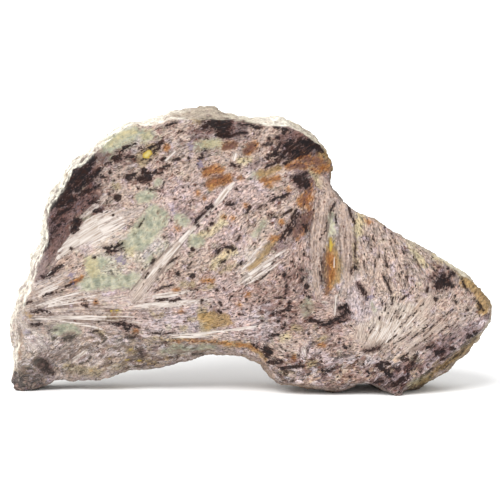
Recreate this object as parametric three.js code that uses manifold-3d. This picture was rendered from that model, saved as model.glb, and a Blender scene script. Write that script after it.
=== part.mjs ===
// A charoite specimen: a chunk of rock with one sawn face, standing upright on two natural feet.
// The sawn face is flat. Everything round it and behind it is a broken crust of lumps and ledges.
// Units are millimetres, +Z is up, and the sawn face looks towards -Y.
import * as THREE from "three";
import { ImprovedNoise } from "three/addons/math/ImprovedNoise.js";
import { mergeVertices } from "three/addons/utils/BufferGeometryUtils.js";
import Module from "manifold-3d";

// Thickness of the chunk, measured back from the sawn face.
const THICKNESS = 29;
const TIP_THINNING = 8; // the two ends are this much thinner than the middle
const HALF_LENGTH = 75;
const BACK_RING_DEPTH = 24; // depth at which the outline of the back is given
const OVERSHOOT_DEPTHS = [29, 40]; // the walls run on to here, and the broken back cuts them off
const SHOULDER_WIDTH = 8; // the back is broken down this far in from its outline
const SHOULDER_DROP = 3.5;

// Roughness of the broken surfaces.
const LUMP_SIZE = 7;
const LUMP_HEIGHT = 1;
const GRIT_SIZE = 2.9;
const GRIT_HEIGHT = 0.8;
const LEDGE_SIZE = 15;
const LEDGE_STEP = 0.45;
const LEDGES = 3;
const FACE_EDGE_CHIP = 0.5; // how raggedly the saw left the edge of the face
const FULL_ROUGHNESS_DEPTH = 3; // the crust is fully rough from this depth on
const BACK_SWELL = 3.2;
const BACK_SWELL_SIZE = 38;
const BACK_ROUGHNESS = 1.7; // how much rougher the back is than the rest of the crust

// Fineness of the mesh.
const SAMPLES_ROUND = 184;
const RIM_ROWS = [0, 0.14, 0.36, 0.66, 1]; // share of the way from the face to the girth
const FLANK_ROWS = [0.33, 0.67, 1]; // share of the way from the girth to the back ring
const FACET = 2.6;
const RIM_BULGE = 0.55; // 0 is a straight bevel, 1 is a quarter round

// One station of the outline, going clockwise as the sawn face is looked at. `face` is a point on
// the edge of the sawn face, as x and z. `girth` and `back` are steps from it to the widest line of
// the crust, `depth` behind the face, and to the outline of the back.
const station = (face, girth, depth, back) => ({ face, girth, depth, back });

const LEFT_FLANK = [
  station([-70.5, 25.5], [-6.5, -2], 10, [-5.5, -2.5]),
  station([-71, 29], [-5, -2], 11, [-4, -1.5]),
  station([-69.5, 33], [-4.5, -1.5], 11, [-3.5, -1]),
  station([-67.5, 37.5], [-3.5, -1], 12, [-3, -0.5]),
  station([-65.5, 43.5], [-3.5, -1], 12, [-2.5, 0.5]),
  station([-63.5, 48], [-3.5, -0.5], 12, [-3, 1.5]),
  station([-63.5, 53], [-3.5, 0], 12, [-3, 1.5]),
  station([-63, 58.5], [-2.5, 0.5], 12, [-3, 1.5]),
  station([-60.5, 62.5], [-2.5, 1], 12, [-2.5, 2.5]),
  station([-58, 65.5], [-3, 1], 12, [-2.5, 3]),
  station([-56.5, 70.5], [-2, 0.5], 12, [-2, 0.5]),
  station([-52, 74], [-2, 1], 12, [-2, 2]),
  station([-47, 78.5], [-2, 0], 12, [-2, 0.5]),
  station([-42, 83], [-1.5, 0], 12, [-1.5, -0.5]),
];

const CROWN = [
  station([-37.5, 85.5], [-1, 0], 12, [-1, -1]),
  station([-32.5, 85.5], [-1, 1], 12, [-1, 0.5]),
  station([-23.5, 88], [-0.5, 0.5], 12, [-0.5, 0]),
  station([-18.5, 88], [-0.5, 1], 12, [-0.5, 1]),
  station([-12, 88], [-0.5, 1.5], 12, [-0.5, 2.5]),
  station([-6, 87.5], [-0.5, 0.5], 12, [-0.5, 0.5]),
  station([4.5, 86], [0, 1], 12, [0, 0.5]),
  station([10.5, 85.5], [0, 0.5], 12, [-0.5, -0.5]),
  station([15.5, 84], [0.5, -0.5], 12, [-0.5, -2]),
];

const RIGHT_SLOPE = [
  station([19.5, 81.5], [0.5, -0.5], 11, [-1, -3]),
  station([23, 78], [1, -0.5], 10, [-2, -4]),
  station([25.5, 74.5], [0.5, -1], 9, [-2.5, -5]),
  station([24.5, 69.5], [0.5, -1], 9, [-1.5, -5]),
  station([25.5, 66], [0.5, -1], 10, [-1.5, -5.5]),
  station([30.5, 61], [0, -1.5], 10, [-1.5, -5]),
  station([34, 58.5], [0, -1.5], 9, [-1.5, -5.5]),
  station([37.5, 57], [0.5, -1.5], 9, [-1.5, -6.5]),
  station([46.5, 51.5], [0.5, -1], 9, [-1.5, -6.5]),
  station([58.5, 44], [1, -0.5], 9, [-0.5, -6]),
  station([64, 40.5], [1, 0], 9, [-0.5, -5.5]),
  station([69, 37.5], [1, -0.5], 8, [-1, -6.5]),
];

const NOSE = [
  station([72.5, 34], [1, -1], 8, [-2, -7]),
  station([74.5, 29.5], [1, -1], 8, [-2.5, -6.5]),
  station([75, 26], [1.5, -1.5], 8, [-3, -5.5]),
  station([73, 21.5], [2, -1], 9, [-1.5, -4.5]),
  station([69.5, 19], [3.5, -2], 9, [0.5, -6.5]),
  station([66.5, 16.5], [4, -2.5], 9, [1.5, -6.5]),
  station([62, 13], [3.5, -3], 9, [2, -6]),
  station([58, 9.5], [3.5, -2.5], 9, [2, -5.5]),
  station([54, 7], [3.5, -3.5], 9, [2, -6]),
];

const RIGHT_FOOT = [
  station([50.5, 5.5], [3, -4.5], 8, [2, -6]),
  station([48.5, 3.5], [0.5, -2], 5, [1, -5]),
  station([47, 0.5], [0.5, -3], 4, [1, -3]),
  station([44, 2], [0.5, -2.5], 4, [1, -3.5]),
  station([41, 3], [0.5, -2.5], 5, [1, -4]),
  station([38.5, 4.5], [0, -2], 5, [0.5, -4]),
];

const ARCH = [
  station([33, 5], [0.5, -2.5], 6, [1, -3]),
  station([27, 3.5], [0, -2.5], 6, [1, -1.5]),
  station([15, 4.5], [0, -2.5], 6, [0.5, -1.5]),
  station([10.5, 6.5], [-1, -3], 6, [0, -3]),
  station([6, 9.5], [-1, -3], 6, [0, -3.5]),
  station([2, 13], [-2, -3], 6, [-0.5, -4.5]),
  station([-3.5, 16], [-0.5, -4.5], 7, [0, -6]),
  station([-12.5, 17.5], [0, -5.5], 8, [0, -6.5]),
  station([-22, 17.5], [-0.5, -8], 9, [0, -8.5]),
];

const LOWER_BEVEL = [
  station([-32, 19], [0, -11.5], 9, [1, -12.5]),
  station([-39.5, 21], [0, -14.5], 9, [0.5, -15]),
  station([-47, 22], [0, -18.5], 9, [0, -18.5]),
  station([-55, 23.5], [-0.5, -20], 9, [-1.5, -20.5]),
  station([-61.5, 24], [-0.5, -20], 9, [-2.5, -22.5]),
  station([-65, 24], [-1, -22.5], 9, [-3.5, -24.5]),
];

const LEFT_FOOT = [
  station([-67, 24], [-2.5, -25.5], 9, [-4, -26]),
  station([-69, 24], [-5, -26], 9, [-6, -26.5]),
  station([-70, 24.5], [-6, -23.5], 9, [-5.5, -25]),
  station([-70.5, 24.5], [-5.5, -14.5], 10, [-5, -15.5]),
  station([-70.5, 25], [-6, -7.5], 10, [-5.5, -8.5]),
];

const OUTLINE = [
  ...LEFT_FLANK,
  ...CROWN,
  ...RIGHT_SLOPE,
  ...NOSE,
  ...RIGHT_FOOT,
  ...ARCH,
  ...LOWER_BEVEL,
  ...LEFT_FOOT,
];

const perlin = new ImprovedNoise();
const wasm = await Module();
wasm.setup();

// Smooth noise with bumps about `size` across. `seed` moves it to a fresh place.
function noise(point, size, seed) {
  return perlin.noise(point.x / size + seed, point.y / size, point.z / size - seed);
}

// Noise cut into steps, as rock breaks along parallel planes.
function ledges(point, seed) {
  const level = noise(point, LEDGE_SIZE, seed) * LEDGES;
  const rise = THREE.MathUtils.smoothstep(level - Math.floor(level), 0.35, 0.65);
  return (Math.floor(level) + rise) * LEDGE_STEP;
}

// Height of the broken surface at a point, above its smooth form.
function breakage(point) {
  const lump = noise(point, LUMP_SIZE, 3.7) * LUMP_HEIGHT;
  const grit = noise(point, GRIT_SIZE, 8.1) * GRIT_HEIGHT;
  return lump + grit + ledges(point, 12.4);
}

// A closed smooth line through one point of every station.
function outlineCurve(pointOf) {
  return new THREE.CatmullRomCurve3(OUTLINE.map(pointOf), true, "centripetal");
}

const faceCurve = outlineCurve(({ face }) => new THREE.Vector3(face[0], 0, face[1]));
const girthCurve = outlineCurve(
  ({ face, girth, depth }) => new THREE.Vector3(face[0] + girth[0], depth, face[1] + girth[1]),
);
const backCurve = outlineCurve(
  ({ face, back }) => new THREE.Vector3(face[0] + back[0], BACK_RING_DEPTH, face[1] + back[1]),
);

// Places round the outline, evenly spaced along the girth, as parameters of all three curves.
girthCurve.arcLengthDivisions = SAMPLES_ROUND * 8;
const PLACES = Array.from({ length: SAMPLES_ROUND }, (_, i) =>
  girthCurve.getUtoTmapping(i / SAMPLES_ROUND),
);

// The direction out of the crust at a place, in the plane of the face.
function outward(place) {
  const along = girthCurve.getTangent(place);
  return new THREE.Vector3(-along.z, 0, along.x).normalize();
}

// A point of the rim between the face, at share 0, and the girth, at share 1.
function rimPoint(place, share) {
  const face = faceCurve.getPoint(place);
  const girth = girthCurve.getPoint(place);
  const round = Math.sin((share * Math.PI) / 2);
  const spread = THREE.MathUtils.lerp(share, round, RIM_BULGE);
  const point = face.clone().lerp(girth, spread);
  point.y = THREE.MathUtils.lerp(face.y, girth.y, share);
  return point;
}

// The same point with the crust's roughness, which fades out towards the sawn face.
function roughened(point, place) {
  const strength = THREE.MathUtils.smoothstep(point.y, 0, FULL_ROUGHNESS_DEPTH);
  const chip = noise(point, GRIT_SIZE, 5.3) * FACE_EDGE_CHIP * (1 - strength);
  const moved = point.clone().addScaledVector(outward(place), breakage(point) * strength + chip);
  moved.y += noise(point, LUMP_SIZE, 21.9) * strength;
  return moved;
}

// The rings of points from the edge of the face back to where the walls are cut off.
function wallRings() {
  const rim = RIM_ROWS.map((share) => PLACES.map((place) => rimPoint(place, share)));
  const flank = FLANK_ROWS.map((share) =>
    PLACES.map((place) => girthCurve.getPoint(place).lerp(backCurve.getPoint(place), share)),
  );
  const past = OVERSHOOT_DEPTHS.map((depth) =>
    PLACES.map((place) => backCurve.getPoint(place).setY(depth)),
  );
  return [...rim, ...flank, ...past].map((ring) =>
    ring.map((point, i) => roughened(point, PLACES[i])),
  );
}

// Triangles that close a ring, looking along -Y, or along +Y if turned. The ring runs clockwise as
// it is seen from -Y, so it is taken backwards.
function capTriangles(ring, first, turned) {
  const flat = ring.map((point) => new THREE.Vector2(point.x, point.z)).reverse();
  const order = turned ? [2, 1, 0] : [0, 1, 2];
  const last = first + ring.length - 1;
  const faces = THREE.ShapeUtils.triangulateShape(flat, []);
  return faces.flatMap((face) => order.map((corner) => last - face[corner]));
}

// Triangles of the wall between each ring and the next one back.
function wallTriangles(rings) {
  const index = [];
  const n = SAMPLES_ROUND;
  for (let row = 0; row + 1 < rings.length; row++) {
    for (let i = 0; i < n; i++) {
      const here = row * n + i;
      const next = row * n + ((i + 1) % n);
      index.push(here, next, next + n);
      index.push(here, next + n, here + n);
    }
  }
  return index;
}

// The chunk from its sawn face back, before its back is broken off.
function loftGeometry() {
  const rings = wallRings();
  const last = rings.length - 1;
  const index = [
    ...capTriangles(rings[0], 0, false),
    ...wallTriangles(rings),
    ...capTriangles(rings[last], last * SAMPLES_ROUND, true),
  ];
  return new THREE.BufferGeometry().setFromPoints(rings.flat()).setIndex(index);
}

// Distance in the plane of the face from a point to the outline of the back.
const BACK_LINE = PLACES.map((place) => backCurve.getPoint(place).setY(0));
function distanceToOutline(point) {
  return Math.min(...BACK_LINE.map((other) => other.distanceTo(point)));
}

// Depth of the broken back behind a point of the face.
function backDepth(x, z) {
  const point = new THREE.Vector3(x, 0, z);
  const reach = Math.min(1, Math.abs(x) / HALF_LENGTH);
  const middle = THICKNESS - BACK_SWELL - TIP_THINNING * reach ** 3;
  const swell = noise(point, BACK_SWELL_SIZE, 31.2) * BACK_SWELL;
  const shoulder = 1 - THREE.MathUtils.smoothstep(distanceToOutline(point), 0, SHOULDER_WIDTH);
  const chipped = SHOULDER_DROP * shoulder * (1 + noise(point, LEDGE_SIZE, 44.6));
  const depth = middle + swell - chipped + breakage(point) * BACK_ROUGHNESS;
  return Math.min(depth, THICKNESS);
}

// A block that is flat in front and below, with the broken back as its rear. The walls of the
// chunk are cut to it, which also flattens the feet where they stand.
function breakingBlock() {
  const size = new THREE.Vector3(180, 20, 104);
  const cut = new THREE.BoxGeometry(
    size.x,
    size.y,
    size.z,
    Math.round(size.x / FACET),
    1,
    Math.round(size.z / FACET),
  );
  cut.translate(0, 0, size.z / 2);
  const place = cut.getAttribute("position");
  for (let i = 0; i < place.count; i++) {
    if (place.getY(i) > 0) place.setY(i, backDepth(place.getX(i), place.getZ(i)));
  }
  return cut;
}

// A closed mesh as a solid that can be cut.
function solidOf(geometry) {
  const bare = geometry.clone();
  bare.deleteAttribute("normal");
  bare.deleteAttribute("uv");
  const merged = mergeVertices(bare, 1e-4);
  return new wasm.Manifold(
    new wasm.Mesh({
      numProp: 3,
      vertProperties: new Float32Array(merged.getAttribute("position").array),
      triVerts: new Uint32Array(merged.index.array),
    }),
  );
}

// A cut solid as a mesh geometry again.
function geometryOf(solid) {
  const { numProp, vertProperties, triVerts } = solid.getMesh();
  const geometry = new THREE.BufferGeometry();
  geometry.setAttribute("position", new THREE.BufferAttribute(vertProperties, numProp));
  geometry.setIndex(new THREE.BufferAttribute(triVerts, 1));
  geometry.computeVertexNormals();
  return geometry;
}

// The whole chunk: the walls cut off by the broken back and by the ground plane.
function slabGeometry() {
  return geometryOf(solidOf(loftGeometry()).intersect(solidOf(breakingBlock())));
}

const stone = new THREE.MeshStandardMaterial({
  color: 0xb7a3a1,
  roughness: 0.6,
  metalness: 0,
  flatShading: true,
});
const slab = new THREE.Mesh(slabGeometry(), stone);
slab.name = "charoite_slab";

// The origin is at the middle of the base.
const box = new THREE.Box3().setFromObject(slab);
slab.position.x = -(box.min.x + box.max.x) / 2;
slab.position.y = -(box.min.y + box.max.y) / 2;

const specimen = new THREE.Group();
specimen.add(slab);

export default specimen;
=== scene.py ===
import math
import random

import bmesh
import bpy
import numpy as np
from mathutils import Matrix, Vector, noise


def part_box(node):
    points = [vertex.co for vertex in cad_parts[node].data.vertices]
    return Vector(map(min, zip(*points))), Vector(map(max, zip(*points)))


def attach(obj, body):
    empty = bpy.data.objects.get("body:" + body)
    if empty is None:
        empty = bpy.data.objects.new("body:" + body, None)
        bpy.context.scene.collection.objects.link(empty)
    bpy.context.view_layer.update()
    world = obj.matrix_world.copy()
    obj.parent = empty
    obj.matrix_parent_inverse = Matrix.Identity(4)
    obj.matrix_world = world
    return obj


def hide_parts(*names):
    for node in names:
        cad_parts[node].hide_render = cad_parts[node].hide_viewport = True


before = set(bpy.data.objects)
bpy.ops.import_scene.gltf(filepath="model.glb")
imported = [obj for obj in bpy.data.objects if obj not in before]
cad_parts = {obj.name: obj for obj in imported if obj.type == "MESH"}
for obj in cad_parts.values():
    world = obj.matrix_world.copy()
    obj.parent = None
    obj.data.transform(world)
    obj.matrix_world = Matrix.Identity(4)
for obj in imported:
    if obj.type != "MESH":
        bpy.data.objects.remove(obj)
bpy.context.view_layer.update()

bl_info = {
    "name": "Charoite specimen",
    "version": (1, 0, 0),
    "blender": (4, 5, 0),
    "location": "3D View > Sidebar > Specimen",
    "description": "A slab of charoite, with the minerals of its sawn face and a rough crust",
    "category": "Object",
}

MM = 0.001
CAD_NODE = "charoite_slab"
STONE = "charoite_stone"

SLAB_LOW, SLAB_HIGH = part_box(CAD_NODE)
FACE_Y = SLAB_LOW.y / MM          # the sawn face lies in this plane, in mm

# ------------------------------
# Where the minerals lie. Every place is (x, z) in mm on the sawn face, seen from the front.
# A stroke is its half-width and the corners of its line, and a corner with a third number
# has a half-width of its own. A spot is (x, z, radius).
# ------------------------------

SHEAF_TAPER = np.array([0.2, 0.8, 1, 1, 0.8, 0.2])  # share of the width at each corner


def sheaf(count, half_width, first, last, seed):
    """Thin strokes side by side, from one edge of a bundle to the other, each cut to a
    length of its own."""
    pick = random.Random(seed)
    first, last = np.array(first, float), np.array(last, float)
    strokes = []
    for n in range(count):
        line = first + (last - first) * (n + pick.uniform(0.2, 0.8)) / count
        ends = np.linspace(pick.uniform(0, 0.3), pick.uniform(0.65, 1), len(SHEAF_TAPER))
        steps = ends * (len(line) - 1)
        x, z = (np.interp(steps, range(len(line)), line[:, axis]) for axis in (0, 1))
        widths = half_width * pick.uniform(0.6, 1.3) * SHEAF_TAPER
        strokes.append((half_width, *zip(x, z, widths)))
    return tuple(strokes)


DARK_STROKES = (
    # left fan
    (0.8, (-65, 38.2), (-62.3, 39.2), (-60.3, 41.2), (-59, 42)),
    (0.5, (-71.3, 29.3), (-70, 30.2), (-68.5, 30.6, 0.3)),
    (0.45, (-65, 32.4), (-63.5, 33), (-62, 33.3)), (0.6, (-58, 35.3, 0.4), (-55.5, 36.2)),
    (0.9, (-45.5, 47.5), (-42, 48), (-40, 49)), (0.9, (-44.5, 46.3), (-41, 47), (-40, 47)),
    (0.6, (-53, 29.6, 0.4), (-51.2, 29.1)), (0.45, (-54, 30.8, 0.2), (-51.5, 30.6)),
    (0.8, (-68.8, 26.9, 0.4), (-66, 27.6), (-63, 27, 0.3)),
    # lower bevel and foot
    (0.75, (-68.6, 23), (-65.7, 23.2)), (0.5, (-63.2, 22.2), (-62.7, 21.2)),
    (0.4, (-61.8, 21.2), (-60.9, 21.5)), (0.45, (-63.6, 20.6), (-62.2, 19), (-61.4, 18.6)),
    (1.0, (-58.6, 18.6), (-55.6, 19.2)), (0.35, (-60, 15.4), (-57.6, 16.8)),
    (0.4, (-53.6, 10.3), (-51.2, 11.2), (-50.3, 12.6)),
    (0.8, (-68.4, 10.4, 0.5), (-66.6, 11.8), (-64.8, 11), (-64.4, 9.8, 0.5)),
    (0.8, (-67, 8.8, 0.5), (-65.2, 8), (-62.8, 6.9), (-61.4, 6.7, 0.4)),
    (0.4, (-69.6, 21), (-68.8, 20.3)), (0.7, (-45, 23.7, 0.3), (-41, 23.3)),
    (1.0, (-39.8, 23.3), (-38.8, 21.6), (-37.4, 22.8)), (0.45, (-36, 22.6), (-34.7, 22.2)),
    (0.5, (-39.4, 19.2, 0.3), (-37, 18.7), (-36, 19.5, 0.3)),
    (0.45, (-47.3, 20, 0.6), (-45.2, 18.5), (-46.8, 17.3, 0.3)), (0.3, (-47.9, 17.2), (-48, 15.6)),
    (0.5, (-50, 20.6), (-47.8, 21.2)), (0.8, (-34.5, 13.8), (-33.8, 12.6)),
    (0.5, (-18, 13.5), (-15, 13.5)),
    # upper left
    (1.8, (-60, 61.5), (-56, 63)),
    (2.6, (-59, 64.6, 1.6), (-55, 69, 2.8), (-51.6, 73, 2.6), (-48.6, 76, 1.1)),
    (1.2, (-63, 59.4, 0.8), (-60, 62.8, 1.4), (-56.4, 65.6)),
    (1.3, (-54, 66), (-50, 69.4, 1.6), (-46.6, 72.4, 0.7)),
    (1.0, (-55, 63.6, 0.6), (-51, 65.6), (-46.6, 67.4, 0.5)), (0.9, (-50, 62), (-47.5, 62.3)),
    (0.9, (-49, 59.3), (-46.5, 59.2)), (1.5, (-54, 56), (-55, 53)),
    (1.1, (-62.5, 55, 0.4), (-59.5, 58.4), (-56, 60.6, 0.6)),
    (0.9, (-63.6, 50.6, 0.3), (-61, 53.6), (-58, 56.4, 0.4)),
    (0.8, (-65.4, 45.6, 0.3), (-63, 49, 0.8), (-61.6, 51, 0.3)), (1.1, (-38.5, 69.7), (-36, 70.4)),
    (1.3, (-34.5, 69.3), (-31.5, 69.5)), (1.3, (-33, 71.5), (-31, 71)),
    (0.9, (-30, 71.5), (-28, 71)), (0.5, (-46.5, 70), (-44.5, 69.7)),
    (0.8, (-45, 74, 0.3), (-42.6, 75), (-40.4, 75.6, 0.4)),
    (0.8, (-39, 76.2, 0.4), (-36.6, 76), (-34.8, 75.4, 0.4)),
    (0.7, (-33.6, 75, 0.4), (-31, 75.2, 0.5)), (0.6, (-43, 76), (-40.5, 76.5)),
    (0.8, (-40.5, 77.5), (-39, 78.7), (-36.3, 80.3)),
    (0.9, (-34, 78.5), (-31, 79.2), (-29, 80), (-27.5, 80.7)), (0.9, (-28.5, 79), (-29.8, 78)),
    (0.5, (-27, 73.3), (-25, 73.5)), (0.5, (-28, 72.6), (-26, 72.4)),
    (0.35, (-26.5, 68.7), (-27.5, 66.5)), (0.45, (-31.5, 65.7), (-29.5, 66.1), (-28, 65.5)),
    (0.35, (-35, 53.8), (-33, 56.7)),
    # crown
    (1.5, (-15, 87.2, 0.5), (-11.6, 86.4, 1.4), (-8.4, 84.4, 1.0)), (1.0, (-15, 88.5), (-12, 88.5)),
    (1.9, (-11, 87), (-7, 86.5)), (1.9, (-9, 84.5), (-7.5, 83.5)),
    (0.9, (-14.5, 85.7), (-12.5, 86)), (0.6, (-10.5, 83), (-6, 82.7), (-3, 83.8), (-1, 83.8)),
    (0.4, (-14, 82), (-13, 82)), (0.7, (-26, 86), (-23, 87)), (0.4, (-22, 84), (-21, 84.3)),
    (0.7, (-13.8, 78.3), (-15, 76.5)), (0.6, (-16, 75.5), (-15, 76)),
    (0.6, (-24, 75.3), (-22, 75.5)), (0.6, (-27.3, 75.4), (-26.5, 75.8)),
    (0.7, (-5.5, 73.8), (-4, 73)),
    # upper right
    (0.9, (-2.5, 86.7), (0.5, 86.3)), (0.9, (1, 85.7), (3, 85.4)), (0.5, (7.5, 85.6), (9, 85.3)),
    (0.6, (10, 85.2), (12, 84.7)),
    *sheaf(11, 0.5, ((7, 75), (12, 79.4), (18, 82.6)), ((13.4, 74.4), (18, 77.2),
     (22.4, 80.6)), 125), (1.9, (15.6, 81.2, 1.0), (19, 80.4, 1.9), (22.4, 78.6, 1.4)),
    (1.2, (13.5, 77.8), (15, 78)), (1.0, (10.5, 79.5), (13, 81)), (0.9, (8, 78), (9.5, 80.5)),
    (0.6, (7, 77), (9, 77.5)), (0.7, (5.5, 76), (8, 76.5), (10, 78)),
    (0.9, (5.3, 73), (7.5, 74), (10, 76)), (0.6, (4.5, 80), (7, 80.3)), (0.6, (11, 74), (12, 75)),
    (2.3, (14.6, 69.4, 1.6), (16.6, 68.4, 2.3), (18, 66.8, 1.2)), (1.0, (16, 70.5), (17.5, 71)),
    (0.8, (7, 62.5), (9, 63.5), (12, 64.7)),
    # left middle
    (0.9, (-12, 61), (-14, 59), (-16, 57), (-17, 55.8)),
    (0.45, (-26.4, 42, 0.2), (-24.6, 43.2), (-22, 45.1, 0.2)), (0.3, (-28.9, 39.9), (-27.7, 41.2)),
    (0.5, (-4.5, 66.2), (-4, 66)), (0.45, (-18.9, 42), (-18.3, 43)),
    (0.45, (-19.3, 41), (-18.5, 41.5)), (0.6, (-31, 42.7), (-29.8, 44)),
    (0.5, (-33, 38), (-31.8, 39.8, 0.3)), (0.9, (-7, 61.3), (-5.5, 61.2)),
    (0.6, (-1, 58.5), (0, 60.5)), (0.45, (-18.8, 62), (-17.8, 62.6)),
    (0.8, (-10.7, 45.5), (-9, 47.5)), (0.8, (-8, 48), (-5, 47.5)), (0.6, (-9, 43), (-7.7, 43.6)),
    (0.5, (-4, 50), (-3, 51.3)), (0.35, (-4.7, 40.8), (-3.3, 42), (-2.5, 43.3)),
    (0.35, (-2.5, 42), (-1, 43.2)),
    # middle
    (0.3, (7, 42.5), (9, 44.5)), (0.3, (1.5, 36.7), (4, 38), (6.3, 40.2)),
    (0.9, (9.4, 49.8, 0.5), (11.2, 52.4, 0.9), (13.2, 55.6, 0.9), (15.2, 58.6, 0.5)),
    (0.8, (11, 50.4, 0.3), (12.6, 53, 0.8), (14.4, 55.8, 0.4)), (0.5, (13, 57), (14.5, 59.5)),
    (0.5, (10.5, 58), (13, 59.5)), (0.6, (25.2, 58.7, 0.3), (26, 60.6), (27, 62.2, 0.3)),
    (0.35, (24, 55.8), (23.8, 54)), (0.5, (23.8, 53), (22.8, 51.8, 0.3), (21.8, 49.8, 0.25)),
    (0.35, (22.4, 44.6), (22.6, 41.4)), (0.45, (22.1, 39.8), (22.6, 37)),
    (0.35, (26.8, 58), (27, 55.2)), (0.5, (30.9, 61.5), (31.4, 58.5), (32.4, 56.5), (32.8, 55.2)),
    (0.35, (33, 49.2), (33.1, 44.6)), (0.7, (33.1, 42.2), (33.2, 41)),
    (0.4, (32, 40.6), (32.1, 39.2)), (0.9, (17, 54.6), (17.9, 52.9)),
    (0.6, (16.3, 37), (16.8, 38.2)), (0.45, (2.5, 60), (4, 61)), (0.7, (6, 58.3), (8.5, 57.3)),
    (0.45, (11.8, 34.5), (11.5, 36)),
    # lower middle
    (0.55, (-24.9, 30.6), (-22.3, 31.4)), (0.5, (-29.4, 31.1), (-26, 31.1)),
    (0.45, (-18.5, 34.2), (-16.5, 34.2)), (0.35, (-30, 33.8), (-27.5, 35), (-24, 35.8)),
    (0.6, (-9, 29.3), (-9.5, 30.2)), (0.8, (-10, 27.5), (-9.3, 27)), (0.5, (-15.2, 30), (-15, 31)),
    (0.45, (-3.3, 26.5), (-2, 26.3)),
    (0.35, (-31.4, 20.6, 0.2), (-29, 20.2), (-26, 20.3), (-23.4, 20.5, 0.2)),
    # lower right
    (0.9, (1.3, 16.4), (3.4, 15.6)), (1.3, (5, 15.3), (6.5, 14.3), (5.7, 13.5)),
    (0.8, (6, 10.9), (8, 11.2), (10, 11.5)), (0.6, (10, 9), (12.5, 9.5), (17, 9.7)),
    (0.7, (6.3, 19.7), (9, 20)), (0.8, (11, 23), (10.5, 22)),
    (0.8, (7.5, 26.5), (8.3, 26.7), (10.5, 27.3)), (0.9, (11.8, 28), (12.8, 29)),
    (0.5, (8, 31.7), (10, 31.8)), (0.45, (10.5, 26), (11.5, 25.7)), (0.8, (17.5, 33), (18.8, 32)),
    (0.45, (11.7, 35), (11.3, 33)), (0.3, (17.9, 30), (17.8, 28.5), (18.7, 27.5)),
    (1.0, (19, 25), (20.5, 24.2), (22, 23.5), (24, 23.2), (26, 24.2), (28, 25.5), (29.5, 26)),
    (0.9, (29.5, 26), (30.5, 28), (30.3, 29)), (1.0, (28.5, 28.5), (30, 29)),
    (0.5, (29.7, 16.3), (30.5, 15.5)), (0.35, (18.3, 14), (18.3, 15.7)),
    (0.9, (23, 8.5), (25, 8.5)),
    # right
    (0.5, (61.5, 37.5), (60.5, 38.5)), (1.3, (59, 35.2), (61, 36), (62.5, 36.3)),
    (1.6, (59.4, 36.4), (61.6, 37.2), (62.4, 38, 0.8)),
    (0.7, (58, 39.2, 0.2), (59.4, 37.6), (61, 36.4)),
    (0.7, (60.6, 40.6, 0.2), (61.4, 38.6), (61.6, 37)), (1.1, (61.5, 37.5), (60.5, 38.5)),
    (0.9, (64, 39.5), (63, 39), (62.5, 38.2)), (0.5, (56, 34.8), (55.6, 33.5)),
    (0.7, (48.3, 47), (48.8, 46.2)),
    # right of the lens
    (0.8, (33.8, 36.2, 0.5), (35.2, 34.6), (36.2, 33), (37, 31.2, 0.5)),
    # rims of the golden patches
    (0.5, (73.6, 27.6), (72.2, 29.6), (70.6, 31.4, 0.3)),
    (0.45, (66.5, 38.2), (67.6, 35.2), (69.4, 33.2, 0.3)),
    (0.7, (72, 20.4, 0.4), (69.4, 17.8), (66.8, 15.6, 0.4)),
    (0.7, (65, 14.6, 0.4), (62, 12.6), (60, 11.4, 0.3)),
    (0.6, (58, 9.4, 0.4), (56.4, 7.8), (54, 6.4, 0.3)),
    (0.7, (52, 2.6, 0.4), (54, 2.4), (56.6, 3.6, 0.3)),
    # foot of the fan
    (0.72, (36.2, 14.6, 0.5), (38.5, 15), (41, 15.8, 0.5)),
    (1.3, (40.8, 10), (42.5, 8.6), (44.3, 7)), (0.6, (41.6, 11), (44.2, 10.7)),
    (0.8, (45.6, 9), (47, 8.8)), (0.8, (49.8, 8.6), (51, 9)), (0.6, (50, 7.4), (49.8, 6)),
    (0.9, (39, 4.3, 0.3), (41, 5.3), (42.2, 5, 0.4)), (0.45, (47.4, 12.3), (49.8, 13.9)),
    (0.6, (48.2, 11.7), (50, 12)), (0.5, (51.3, 10.4), (52.8, 13.3)), (0.6, (56, 15.7), (58, 16.4)),
    (1.2, (46, 4), (48.5, 5.5)), (1.1, (59, 14), (61, 15)), (0.5, (57, 15.5), (58, 17)),
    (0.8, (68.5, 19), (71.5, 20.5)),
)

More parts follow.
